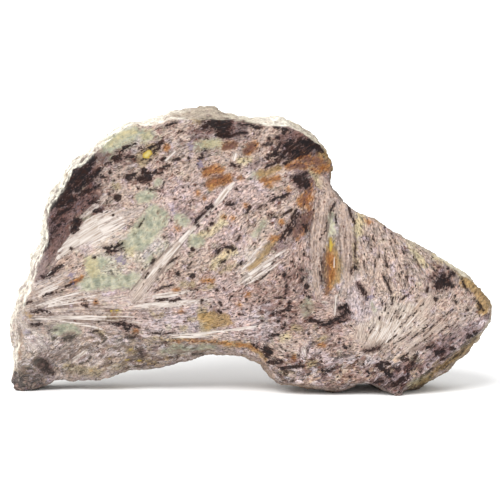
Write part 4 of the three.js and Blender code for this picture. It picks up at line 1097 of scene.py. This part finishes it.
def even_mesh(size):
    """The slab's solid as a mesh of even faces, in an object of its own."""
    solid = bmesh.new()
    solid.from_mesh(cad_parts[CAD_NODE].data)
    bmesh.ops.remove_doubles(solid, verts=solid.verts, dist=WELD_REACH * MM)
    mesh = bpy.data.meshes.new(STONE)
    solid.to_mesh(mesh)
    solid.free()
    stone = bpy.data.objects.new(STONE, mesh)
    bpy.context.scene.collection.objects.link(stone)
    remesh = stone.modifiers.new("Even faces", "REMESH")
    remesh.mode = "VOXEL"
    remesh.voxel_size = size
    evaluated = stone.evaluated_get(bpy.context.evaluated_depsgraph_get())
    even = bpy.data.meshes.new_from_object(evaluated)
    stone.modifiers.clear()
    stone.data = even
    return stone


def refine_face(shape, size):
    """Flattens the sawn face into its plane and halves its mesh faces."""
    plane = FACE_Y * MM
    near = plane + FLAT_REACH * size
    flat = {v for v in shape.verts if v.co.y < near and v.normal.y < FORWARD}
    for vertex in flat:
        vertex.co.y = plane
    sawn = [face for face in shape.faces if all(v in flat for v in face.verts)]
    edges = list(dict.fromkeys(edge for face in sawn for edge in face.edges))
    bmesh.ops.subdivide_edges(shape, edges=edges, cuts=1, use_grid_fill=True)


def crust_relief(points, rear, settings):
    """How far each point of the crust is lifted, and how deep it lies in a hollow, 0 to 1, which
    sets the painted shade there.
    """
    depth = points[:, 1] - FACE_Y
    lumps = noise_at(points, "lump")
    splinters = 1 - 2 * np.abs(noise_at(points * GRAIN_STRETCH, "splinter"))
    pits = -np.clip(noise_at(points, "pit") - 0.15, 0, None)
    tilted = points @ LEDGE_TILT
    ledges = 0.5 * noise_at(tilted * LEDGE_STRETCH, "ledge")
    ledges -= np.abs(noise_at(tilted * GROOVE_STRETCH, "groove"))
    lift = smoothstep(depth, 0.0, 1.6) * (
        settings.lump_relief * lumps
        + settings.splinter_relief * (splinters - 0.3)
        + 2.5 * settings.pit_relief * pits
        + settings.ledge_relief * (0.35 + ledges) * smoothstep(depth, 4, 10) * rear
    )
    # the deeper in a hollow, the more painted shade the crust gets
    hollow_shade = smoothstep(-0.5 * lumps - 0.5 * splinters - ledges - 1.5 * pits, -0.1, 1.3)
    return lift, hollow_shade


def roughen_crust(shape, settings):
    """Swells, splinters, ledges and pits everywhere but on the sawn face."""
    plane = FACE_Y * MM
    hollow_shade = shape.verts.layers.float.new("hollow_shade")
    crust = [v for v in shape.verts if v.co.y > plane + FACE_SKIN * MM]
    for _ in range(SMOOTHINGS):
        bmesh.ops.smooth_vert(
            shape, verts=crust, factor=0.5, use_axis_x=True, use_axis_y=True, use_axis_z=True
        )
    shape.normal_update()
    points = np.array([v.co for v in crust]) / MM
    rear = 0.3 + 0.7 * smoothstep(np.array([v.normal.y for v in crust]), 0.0, 0.5)
    for vertex, lift, sunk in zip(crust, *crust_relief(points, rear, settings)):
        vertex[hollow_shade] = sunk
        moved = zip(vertex.co + vertex.normal * lift, SLAB_LOW, SLAB_HIGH)
        vertex.co = [min(max(value, low), high) for value, low, high in moved]
        vertex.co.y = max(vertex.co.y, plane + CRUST_GAP * MM)


def seen_places(points):
    """Where each point falls on the sawn face, for points behind it as well. The pattern
    runs back through the stone, and wanders more the deeper it goes."""
    depth = points[:, 1] - FACE_Y
    x = points[:, 0] / (1 + depth / DEPTH_FLARE)
    z = points[:, 2] + DEPTH_RISE * depth
    wander = WANDER * smoothstep(depth, 3, 22)
    x = x + wander * noise_at(points, "wander")
    z = z + wander * noise_at(points, "wander", 2)
    return np.stack([x, z], 1)


def vertex_vectors(mesh, name):
    """One vector of each vertex, in a row of its own."""
    values = np.empty(len(mesh.vertices) * 3, np.float32)
    mesh.vertices.foreach_get(name, values)
    return values.reshape(-1, 3).astype(float)


def add_attribute(mesh, name, values):
    """Stores one number, or one colour, at each vertex."""
    coloured = values.ndim == 2
    kind = "FLOAT_COLOR" if coloured else "FLOAT"
    attribute = mesh.attributes.new(name, kind, "POINT")
    if coloured:
        values = np.column_stack([values, np.ones(len(values))])
    attribute.data.foreach_set(
        "color" if coloured else "value", values.astype(np.float32).ravel()
    )


def paint_minerals(mesh, places):
    """Writes how deep each vertex lies in each mineral, and which way its fibres run."""
    guides = np.array([[math.radians(guide[3])] for guide in GRAIN_GUIDES])
    turn = blend_patches(places, GRAIN_GUIDES, guides)[:, 0]
    for name, (strokes, spots) in MINERALS.items():
        field, lay = stroke_field(places, strokes, spots)
        add_attribute(mesh, name, field)
        if name in FIBROUS:
            turn += (lay - turn) * smoothstep(field, -0.8, 0.0)
    add_attribute(mesh, "grain", turn)


def paint_ground(mesh, places, gain):
    """Writes the mass between the minerals: its tone, and how streaky and speckled it is."""
    rows = [[*linear(GROUND_TONES[tone], gain), *rest] for _, _, _, tone, *rest in GROUND_PATCHES]
    ground = blend_patches(places, GROUND_PATCHES, np.array(rows))
    add_attribute(mesh, "ground", ground[:, :3])
    add_attribute(mesh, "streaks", ground[:, 3])
    add_attribute(mesh, "specks", ground[:, 4])


def paint_crust(mesh, places, gain):
    """Writes the tone of the crust."""
    tones = np.array([linear(CRUST_TONES[tone], gain) for _, _, _, tone in CRUST_PATCHES])
    add_attribute(mesh, "crust", blend_patches(places, CRUST_PATCHES, tones))


def paint_stone(mesh, gain):
    """Writes all that the material reads into the mesh."""
    points = vertex_vectors(mesh, "co") / MM
    facing = -vertex_vectors(mesh, "normal")[:, 1]
    behind = smoothstep(-facing, 0.0, 0.5)
    depth = points[:, 1] - FACE_Y
    places = seen_places(points)
    x, z = places.T
    fray = np.stack([noise_at(points, "fray", turn) for turn in (1, 2)], 1)
    stray = np.stack([noise_at(points, "stray", turn) for turn in (1, 2)], 1)
    frayed = places + FRAY * fray
    reach = (STRAY_SIDE + STRAY_BACK * behind) * smoothstep(depth, 1.5, 12)
    strayed = frayed + reach[:, None] * stray
    paint_minerals(mesh, places)
    paint_ground(mesh, frayed, gain)
    paint_crust(mesh, strayed, gain)

    # where the crust covers the minerals, and where it is the rough back
    bevel = smoothstep(facing, 0.25, 0.6) * smoothstep(depth, 16, 11)
    spilt = smoothstep(depth - SPILL * np.clip(fray[:, 0], 0, None), -0.6, 0.6)
    add_attribute(mesh, "coat", smoothstep(depth, 0.2, 1.2) * spilt * (1 - 0.85 * bevel))
    add_attribute(mesh, "back", smoothstep(depth, 2.5, 9) * (0.25 + 0.75 * behind))

    # where the face is broken up into slabs
    left_foot = smoothstep(z, 22, 18) * smoothstep(-x, 8, 12) * smoothstep(z, 5, 9)
    right_foot = smoothstep(z, 17, 11) * smoothstep(x, 4, 10)
    right_rim = smoothstep(x - z, 44, 49) * (1 - right_foot)
    add_attribute(mesh, "craggy", left_foot + right_foot + right_rim)


class StoneShader(Shader):
    """The painted minerals, with their fibres, specks and cloudiness, under the crust."""

    def __init__(self, colours, gain):
        super().__init__(STONE)
        self.colours = colours
        self.gain = gain
        self.add_noises()
        self.add_fibres()
        self.add_measures()
        tone = self.tinted(self.veiled(self.attribute("ground", "Color")))
        base = self.silky(self.grainy(tone))
        base = self.crusted(self.darkened(base))
        strands, hairs, grit, coat = self.strands, self.hairs, self.grit, self.coat
        height = strands * 0.12 + hairs * 0.12 + grit * (0.12 + 0.5 * coat)
        height = height + self.dust * (0.05 + 0.2 * coat)
        sockets = {"Strength": 0.45, "Distance": 0.2 * MM, "Height": height}
        self.set_surface({
            "Base Color": base,
            "Roughness": 0.52 + hairs * 0.06 + coat * 0.32 - self.cluster * 0.08,
            "Specular IOR Level": 0.1,
            "Normal": self.node("ShaderNodeBump", {}, sockets),
        })

    def seen(self, name):
        """One of the tones, as the colour that the light brings up to it."""
        return tuple(linear(TONES[name], self.gain))

    def colour(self, name):
        """One of the colours of the settings, likewise."""
        return tuple(linear(np.array(getattr(self.colours, name)) * 255, self.gain))

    def mask(self, name, soft, ragged=0.0):
        """1 inside the mineral and 0 outside, with an edge that is soft and ragged, in mm."""
        return self.step(self.attribute(name) + ragged, -soft, soft)

    def cover(self, tone, *layers):
        """Lays minerals over the tone: name, softness, ragged edge, and share covered."""
        for name, soft, edge, share in layers:
            tone = self.mix(self.mask(name, soft, edge) * share, tone, self.colour(name))
        return tone

    def shade(self, share, colour, name):
        """Darkens the colour by one of the shades."""
        return self.mix(share, colour, self.product(colour, SHADES[name]))

    def spared(self, *covers):
        """1, less a share of each cover."""
        left = 1.0
        for share, cover in covers:
            left = left * (1.0 - share * cover)
        return left

    def add_noises(self):
        """Noises that have no direction, in mm."""
        self.flat = self.scale(self.node("ShaderNodeTexCoord", {}, {}, "Object"), 1 / MM)
        self.place = self.bend(self.flat, 2.8, 0.35)
        elsewhere = self.add(self.place, (57.0, 57.0, 57.0))
        self.sand = self.noise(self.flat, 1.6, 1)
        self.dust = self.noise(self.flat, 2.6, 1)
        self.grit = self.noise(self.place, 1.3, 2, 0.65)
        self.blots = self.noise(self.place, 0.55, 2, 0.6)
        self.blush = self.noise(self.place, 0.42, 2, 0.6)
        self.clouds = self.noise(self.place, 0.2, 2, 0.55)
        self.tinge = self.noise(elsewhere, 0.36, 2, 0.6)
        self.moss = self.noise(elsewhere, 0.24, 2, 0.6)

    def add_fibres(self):
        """Noises and cells that lie along the fibres: mm along them, then mm across."""
        angle = self.attribute("grain")
        ragged = self.noise(self.place, 0.35, 2) * 0.9
        bundles = Grain(self, self.place, angle, BUNDLE_TURN, ragged)
        self.strands = bundles.noise(5.5, 0.9, 2, 0.6)
        self.hairs = bundles.noise(2.4, 0.45, 1, shift=17.0)
        self.down = bundles.noise(1.6, 0.34, 1, shift=41.0)
        self.seam = bundles.noise(3.0, 1.1, 2, 0.6, shift=67.0)
        _, self.pick, self.hue, _ = bundles.cells(1.3, 0.52)
        _, self.chip, self.chip_hue, self.chip_chance = bundles.cells(0.8, 0.33, 53.0)
        self.lump, self.lump_pick, self.lump_hue, _ = bundles.cells(1.7, 0.85, 71.0)
        self.dash, self.dash_pick, *_ = bundles.cells(2.2, 0.6, 91.0)
        _, self.slab_pick, self.slab_hue, self.slab_chance = bundles.cells(3.2, 1.3, 113.0)
        ribbons = Grain(self, self.flat, angle, RIBBON_TURN, 0.0)
        self.long_strands = ribbons.noise(18.0, 0.62, 2, 0.6, shift=5.0)
        self.long_hairs = ribbons.noise(9.0, 0.36, 1, shift=29.0)
        self.fibres = ribbons.noise(4.0, 0.27, 1, shift=83.0)

    def add_measures(self):
        """Painted measures, and mixtures of the noises that several minerals share."""
        self.craggy = self.attribute("craggy")
        self.coat = self.attribute("coat")
        self.back = self.attribute("back")
        self.streaks = self.attribute("streaks")
        self.evenly = self.attribute("specks")
        crowding = self.step(self.clouds - self.blots * 0.6, -0.9, 0.9)
        self.specks = self.evenly * (0.45 + crowding * 1.1)
        self.fray = (self.pick - 0.5) * 0.7 + self.grit * 0.3 + self.blots * 0.5
        self.feather = self.strands * 0.6 + self.hairs * 0.4
        self.flame = self.attribute("orange") + self.feather * 0.7 + self.grit * 0.35
        self.still = self.spared((0.6, self.mask("green", 0.8)), (0.5, self.mask("gold", 0.8)))
        self.calm = self.spared(
            (0.5, self.mask("ray", 0.5)),
            (0.8, self.mask("green", 0.8)),
            (0.5, self.step(self.flame, -0.5, 0.5)),
            (0.6, self.mask("band", 0.6)),
            (0.5, self.step(self.streaks - self.evenly, 0.4, 0.9)),
        )

    def veiled(self, tone):
        """The painted ground under veils of other tones, and broken into slabs."""
        for veil, low, high, cover, name in (
            (self.blush, 0.1, 1.0, 0.6, "rosy veil"),
            (self.blush, -0.1, -1.0, 0.6, "grey veil"),
            (self.clouds + self.blots * 0.4, 0.3, 1.0, 0.5, "cream veil"),
            (self.tinge, 0.2, 1.0, 0.55, "lilac veil"),
            (self.tinge, -0.3, -1.1, 0.4, "peach veil"),
            (self.moss, 0.4, 1.1, 0.4, "mossy veil"),
            (self.slab_hue, 0.66, 0.7, 0.65 * self.craggy, "pale slab"),
            (self.slab_hue, 0.3, 0.26, 0.5 * self.craggy, "tan slab"),
        ):
            tone = self.mix(self.step(veil, low, high) * cover, tone, self.seen(name))
        return tone

    def tinted(self, tone):
        """The tints of the minerals, one over the other."""
        blots, grit, fray, feather = self.blots, self.grit, self.fray, self.feather
        cloudy = self.step(blots * 0.8 + self.tinge * 0.7 + self.clouds * 0.5, -0.8, 0.8)
        leaf = self.mix(cloudy, self.seen("dark leaf"), self.seen("pale leaf"))
        tone = self.mix(self.mask("green", 0.9, blots * 0.8 + grit * 0.35) * 0.9, tone, leaf)
        brown = blots + grit * 0.3 + (self.lump_hue - 0.5) * 0.9 + self.specks
        tone = self.mix(self.step(brown, 0.75, 1.5) * 0.65, tone, self.seen("brown patch"))
        tone = self.cover(
            tone,
            ("ray", 0.4, feather * 0.9, 0.8),
            ("band", 0.4, feather * 0.7, 0.8),
            ("lilac", 0.9, feather * 0.5 + fray * 0.8, 0.5),
            ("straw", 0.9, fray * 1.2, 0.65),
            ("olive", 0.8, fray * 0.9 + feather * 0.4, 0.7),
            ("gold", 0.7, fray * 0.6 + feather * 0.7, 0.85),
            ("yellow", 0.6, fray * 0.6, 0.5),
        )
        tone = self.mix(self.step(self.flame, -0.9, 0.6) * 0.92, tone, self.flames())
        tone = self.cover(
            tone,
            ("purple", 0.9, fray * 1.8, 0.7),
            ("umber", 0.5, fray * 0.9 + feather * 0.5, 0.75),
        )
        return self.product(tone, self.mix(self.hue, COOL_CAST, WARM_CAST))

    def flames(self):
        """The colours inside the orange mineral."""
        shares = self.step(self.flame, -0.3, 1.1)
        tone = self.mix(shares, self.seen("flame edge"), self.colour("orange"))
        glow = self.step(self.chip_hue + self.hairs * 0.25 + self.dust * 0.1, 0.68, 0.95)
        tone = self.mix(glow * 0.65, tone, self.seen("flame glow"))
        embers = self.step(self.feather * 0.8 + self.blots * 0.9, -0.1, 0.7)
        embers = embers * self.spared((0.7, self.mask("gold", 0.8)))
        return self.mix(embers * 0.7, tone, self.seen("ember"))

    def grainy(self, tone):
        """Light and dark fibres and grains on top of the tints, painted light and shade on the
        broken slabs, painted glints on chips, and painted shade in the gaps between slabs.
        """
        streaks, still, calm = self.streaks, self.still, self.calm
        # each broken slab lighter or darker: painted light and shade of facets facing different ways
        facet_light = (self.slab_pick - 0.5) * (0.35 + self.craggy)
        fibres = self.strands * (0.05 + 0.08 * streaks) + self.hairs * (0.08 + 0.06 * streaks)
        ribbons = self.long_strands * 0.2 + self.long_hairs * 0.14 + self.fibres * 0.22
        grains = (self.pick - 0.5) * 0.55 + (self.chip - 0.5) * 0.65 + self.sand * 0.16
        light = (
            0.94
            + still * fibres
            + still * (self.down * 0.22 + self.grit * 0.08)
            + still * streaks * ribbons
            + calm * (grains + facet_light * 0.7)
            + self.blots * 0.15
            + self.clouds * 0.08
        )
        base = self.scale(tone, light.at_least(DIMMEST))
        # painted glints: a few chips brighter than their own tone
        painted_glint = self.step(self.chip_chance + self.hairs * 0.1 * streaks, 0.86, 0.9) * calm
        base = self.mix(painted_glint * 0.7, base, self.scale(tone, PAINTED_GLINT))
        pinch = self.step(self.chip_chance, 0.16, 0.1) * (0.3 + 0.6 * self.specks) * still
        base = self.shade(pinch * 0.8, base, "pinch")
        # painted shade in the gaps between the broken slabs
        slab_gap_shade = self.step(self.slab_chance + self.grit * 0.08, 0.24, 0.16) * self.craggy
        base = self.shade(slab_gap_shade * 0.75, base, "slab_gap_shade")
        crack = self.step(abs(self.seam), 0.12, 0.03)
        crack = crack * self.step(self.tinge + self.grit * 0.6, -0.2, 0.4) * calm
        return self.shade(crack * 0.75, base, "crack")

    def silky(self, base):
        """The pale fan, the thin brown seams and the bright silk, whose strands are partly a painted
        sheen.
        """
        long_strands, long_hairs, fibres = self.long_strands, self.long_hairs, self.fibres
        ridge = self.step(long_strands, -0.7, 0.2)
        fine = self.step(long_hairs * 0.5 + fibres * 0.7, -0.8, 0.5)
        fan = self.mix(ridge * 0.3 + fine * 0.7, self.seen("fan shade"), self.colour("fan"))
        # the silk's bright strands over its shade are partly its own colour, partly a painted sheen
        silk = self.mix(ridge * 0.4 + fine * 0.6, self.seen("silk shade"), self.colour("silk"))
        base = self.mix(self.mask("fan", 2.2, self.feather * 1.6) * 0.75, base, fan)
        thread = self.mask("thread", 0.2, self.grit * 0.2)
        base = self.mix(thread * 0.6, base, self.seen("thread"))
        ragged = long_strands * 0.14 + long_hairs * 0.1 + fibres * 0.12
        self.ribbon = self.mask("silk", 0.18, ragged)
        return self.mix(self.ribbon * 0.92, base, silk)

    def spots(self, distance, pick, chance, widest, ragged, soft):
        """Dots in the cells whose pick is high enough, and wider where it is higher."""
        radius = ((pick - 1.0 + chance) * 2.0).at_most(widest)
        return self.step(radius - distance + self.grit * ragged, -soft, soft)

    def darkened(self, base):
        """The dark minerals, and the blue and yellow grains that lie over them."""
        strands, hairs, long_hairs = self.strands, self.hairs, self.long_hairs
        blots, grit, pick = self.blots, self.grit, self.pick
        black = self.step(self.lump_hue, 0.3, 0.8)
        black = self.mix(black, self.seen("cold black"), self.seen("warm black"))
        rusty = self.mix(self.step(self.lump_hue, 0.45, 0.6), black, self.seen("rusty black"))
        worn = self.step(grit * 0.5 + hairs * 0.6 + strands * 0.4 + blots * 0.4, 0.2, 1.1)
        ink = self.mix(worn * 0.7, black, self.colour("brown"))

        # scattered grains and dashes
        deep = self.attribute("dark")
        halo = self.step(deep + blots * 0.7 + grit * 0.5, -1.3, 0.6)
        base = self.shade(halo * 0.55, base, "halo")
        open_ground = self.spared((0.85, self.ribbon)) * self.still
        chance = 0.08 + 0.32 * self.specks
        dots = self.spots(self.lump, self.lump_pick, chance, 0.28, 0.12, 0.05)
        base = self.mix(dots * open_ground * 0.92, base, rusty)
        chance = 0.06 + 0.16 * self.specks + 0.1 * self.streaks
        dashes = self.spots(self.dash, self.dash_pick, chance, 0.3, 0.08, 0.06)
        base = self.mix(dashes * open_ground * 0.85, base, ink)

        # clusters and needles
        edge = grit * 0.3 + (pick - 0.5) * 0.6 + strands * 0.5 + hairs * 0.45 + blots * 0.25
        self.cluster = self.step(deep + edge - 0.25, -0.1, 0.15)
        glints = self.step(hairs * 0.7 + long_hairs * 0.5 + grit * 0.3, 0.6, 1.2)
        mottled = self.mix(glints * 0.45, ink, self.seen("glint"))
        base = self.mix(self.cluster * 0.96, base, mottled)
        needle = self.attribute("needle") + (self.chip - 0.5) * 0.45
        needle = needle + (pick - 0.5) * 0.3 + grit * 0.16
        base = self.shade(self.step(needle, -0.5, 0.2) * 0.5, base, "needle rim")
        base = self.mix(self.step(needle, 0.0, 0.24) * 0.94, base, ink)

        # blue and yellow grains
        base = self.cover(base, ("blue", 0.5, self.fray * 1.6, 0.75))
        yellow = self.attribute("yellow") + self.fray * 0.3
        base = self.shade(self.step(yellow, -0.7, -0.2) * 0.4, base, "yellow rim")
        glow = self.step(yellow, 0.2, 0.6) * 0.6
        amber = self.mix(glow, self.colour("yellow"), self.seen("amber glow"))
        return self.mix(self.step(yellow, -0.2, 0.1) * 0.85, base, amber)

    def crusted(self, base):
        """The weathered crust over all of it."""
        strands, hairs, back = self.strands, self.hairs, self.back
        blots, grit, dust, clouds = self.blots, self.grit, self.dust, self.clouds
        stain = 1.0 + blots * 0.12 + grit * 0.16 + dust * 0.1
        stain = stain + (self.pick - 0.5) * (0.15 + 0.2 * back)
        lumpy = strands * 0.16 + hairs * 0.16 + (self.lump_pick - 0.5) * 0.25 - 0.16
        stain = (stain + lumpy * back).at_least(DIMMEST_CRUST)
        crust = self.scale(self.attribute("crust", "Color"), stain)
        rust = self.step(clouds + blots * 0.6, 0.3, 1.1) * (0.25 + 0.35 * back)
        crust = self.mix(rust, crust, self.seen("crust rust"))
        pores = self.step(grit + dust * 0.6, -0.7, -1.3) * (0.6 + 0.4 * back)
        crust = self.mix(pores, crust, self.seen("crust pore"))
        # painted shade in the hollows of the crust, stronger at the back
        hollow_shade = self.attribute("hollow_shade") * (0.15 + 0.55 * back)
        crust = self.shade(hollow_shade, crust, "hollow_shade")
        bare = self.step(clouds + blots * 0.5 + strands * 0.2, -0.2, 0.7) * back
        worn = self.coat * (0.6 + self.step(blots, -0.4, 0.4) * 0.4)
        return self.mix(worn * self.spared((0.6, bare)), base, crust)


class SPECIMEN_OT_stone(bpy.types.Operator):
    """Make the charoite slab, with its sawn face and its crust"""

    bl_idname = "specimen.stone"
    bl_label = "Charoite slab"

    def execute(self, context):
        settings = context.scene.specimen_stone
        gain = context.scene.specimen_studio.gain
        stone = even_mesh(settings.mesh_size)
        shape = bmesh.new()
        shape.from_mesh(stone.data)
        shape.normal_update()
        refine_face(shape, settings.mesh_size)
        roughen_crust(shape, settings)
        bmesh.ops.triangulate(shape, faces=[f for f in shape.faces if len(f.verts) > 4])
        shape.to_mesh(stone.data)
        shape.free()
        stone.data.shade_smooth()
        paint_stone(stone.data, gain)
        shader = StoneShader(context.scene.specimen_colours, gain)
        stone.data.materials.append(shader.material)
        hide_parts(CAD_NODE)
        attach(stone, "root")
        return {"FINISHED"}


# ------------------------------
# The studio
# ------------------------------

SENSOR_WIDTH = 36                 # mm
FLOOR_REACH = 8                   # m from the middle of the floor to each side
LIGHT_SPREAD = math.radians(25)   # how wide each soft light looks from the stone
KEY_PLACE = (-0.35, -1.0, 1.25)   # the lights shine from here towards the stone
SIDE_PLACE = (-0.9, -0.75, 0.8)


class SPECIMEN_OT_studio(bpy.types.Operator):
    """Set the camera, the pale floor and the soft light"""

    bl_idname = "specimen.studio"
    bl_label = "Studio"

    def execute(self, context):
        studio = context.scene.specimen_studio
        self.add_camera(context.scene, studio)
        self.add_floor(context.scene, studio)
        self.add_light(context.scene, "key_light", studio.key, KEY_PLACE)
        self.add_light(context.scene, "side_light", studio.side, SIDE_PLACE)
        self.add_sky(context.scene, studio)
        context.scene.view_settings.view_transform = "Standard"
        return {"FINISHED"}

    def add_camera(self, scene, studio):
        data = bpy.data.cameras.new("camera")
        data.lens = studio.lens
        data.sensor_width = SENSOR_WIDTH
        camera = bpy.data.objects.new("camera", data)
        camera.location = (
            studio.aim_side,
            FACE_Y * MM - studio.distance * math.cos(studio.elevation),
            studio.aim_height + studio.distance * math.sin(studio.elevation),
        )
        camera.rotation_euler = (math.radians(90) - studio.elevation, 0, 0)
        scene.collection.objects.link(camera)
        scene.camera = camera

    def add_floor(self, scene, studio):
        shape = bmesh.new()
        bmesh.ops.create_grid(shape, x_segments=1, y_segments=1, size=FLOOR_REACH)
        mesh = bpy.data.meshes.new("floor")
        shape.to_mesh(mesh)
        shape.free()
        floor = bpy.data.objects.new("floor", mesh)
        scene.collection.objects.link(floor)
        shader = Shader("floor")
        tone = (*linear(np.array(studio.floor) * 255), 1)
        shader.set_surface({"Base Color": tone, "Roughness": 0.9, "Specular IOR Level": 0.0})
        mesh.materials.append(shader.material)

    def add_light(self, scene, name, strength, place):
        """A broad soft light that shines from place towards the stone."""
        data = bpy.data.lights.new(name, "SUN")
        data.energy = strength
        data.angle = LIGHT_SPREAD
        light = bpy.data.objects.new(name, data)
        light.location = place
        light.rotation_euler = light.location.to_track_quat("Z", "Y").to_euler()
        scene.collection.objects.link(light)

    def add_sky(self, scene, studio):
        sky = bpy.data.worlds.new("sky")
        sky.use_nodes = True
        surroundings = sky.node_tree.nodes["Background"].inputs
        surroundings["Color"].default_value = (1, 1, 1, 1)
        surroundings["Strength"].default_value = studio.sky
        scene.world = sky


OPERATORS = (SPECIMEN_OT_stone, SPECIMEN_OT_studio)
SETTINGS = {
    "specimen_stone": StoneShape,
    "specimen_colours": StoneColours,
    "specimen_studio": StudioSettings,
}


class SPECIMEN_PT_panel(bpy.types.Panel):
    """Shows the buttons that make the stone and the studio, with their settings"""

    bl_idname = "SPECIMEN_PT_panel"
    bl_label = "Charoite specimen"
    bl_space_type = "VIEW_3D"
    bl_region_type = "UI"
    bl_category = "Specimen"

    def draw(self, context):
        for operator in OPERATORS:
            self.layout.operator(operator.bl_idname)
        for group in SETTINGS:
            box = self.layout.box()
            settings = getattr(context.scene, group)
            for name in settings.__annotations__:
                box.prop(settings, name)


CLASSES = (*SETTINGS.values(), *OPERATORS, SPECIMEN_PT_panel)


def register():
    for cls in CLASSES:
        bpy.utils.register_class(cls)
    for name, cls in SETTINGS.items():
        setattr(bpy.types.Scene, name, bpy.props.PointerProperty(type=cls))


def unregister():
    for name in SETTINGS:
        delattr(bpy.types.Scene, name)
    for cls in reversed(CLASSES):
        bpy.utils.unregister_class(cls)


def main():
    register()
    bpy.ops.specimen.studio()
    bpy.ops.specimen.stone()


if __name__ == "__main__":
    main()
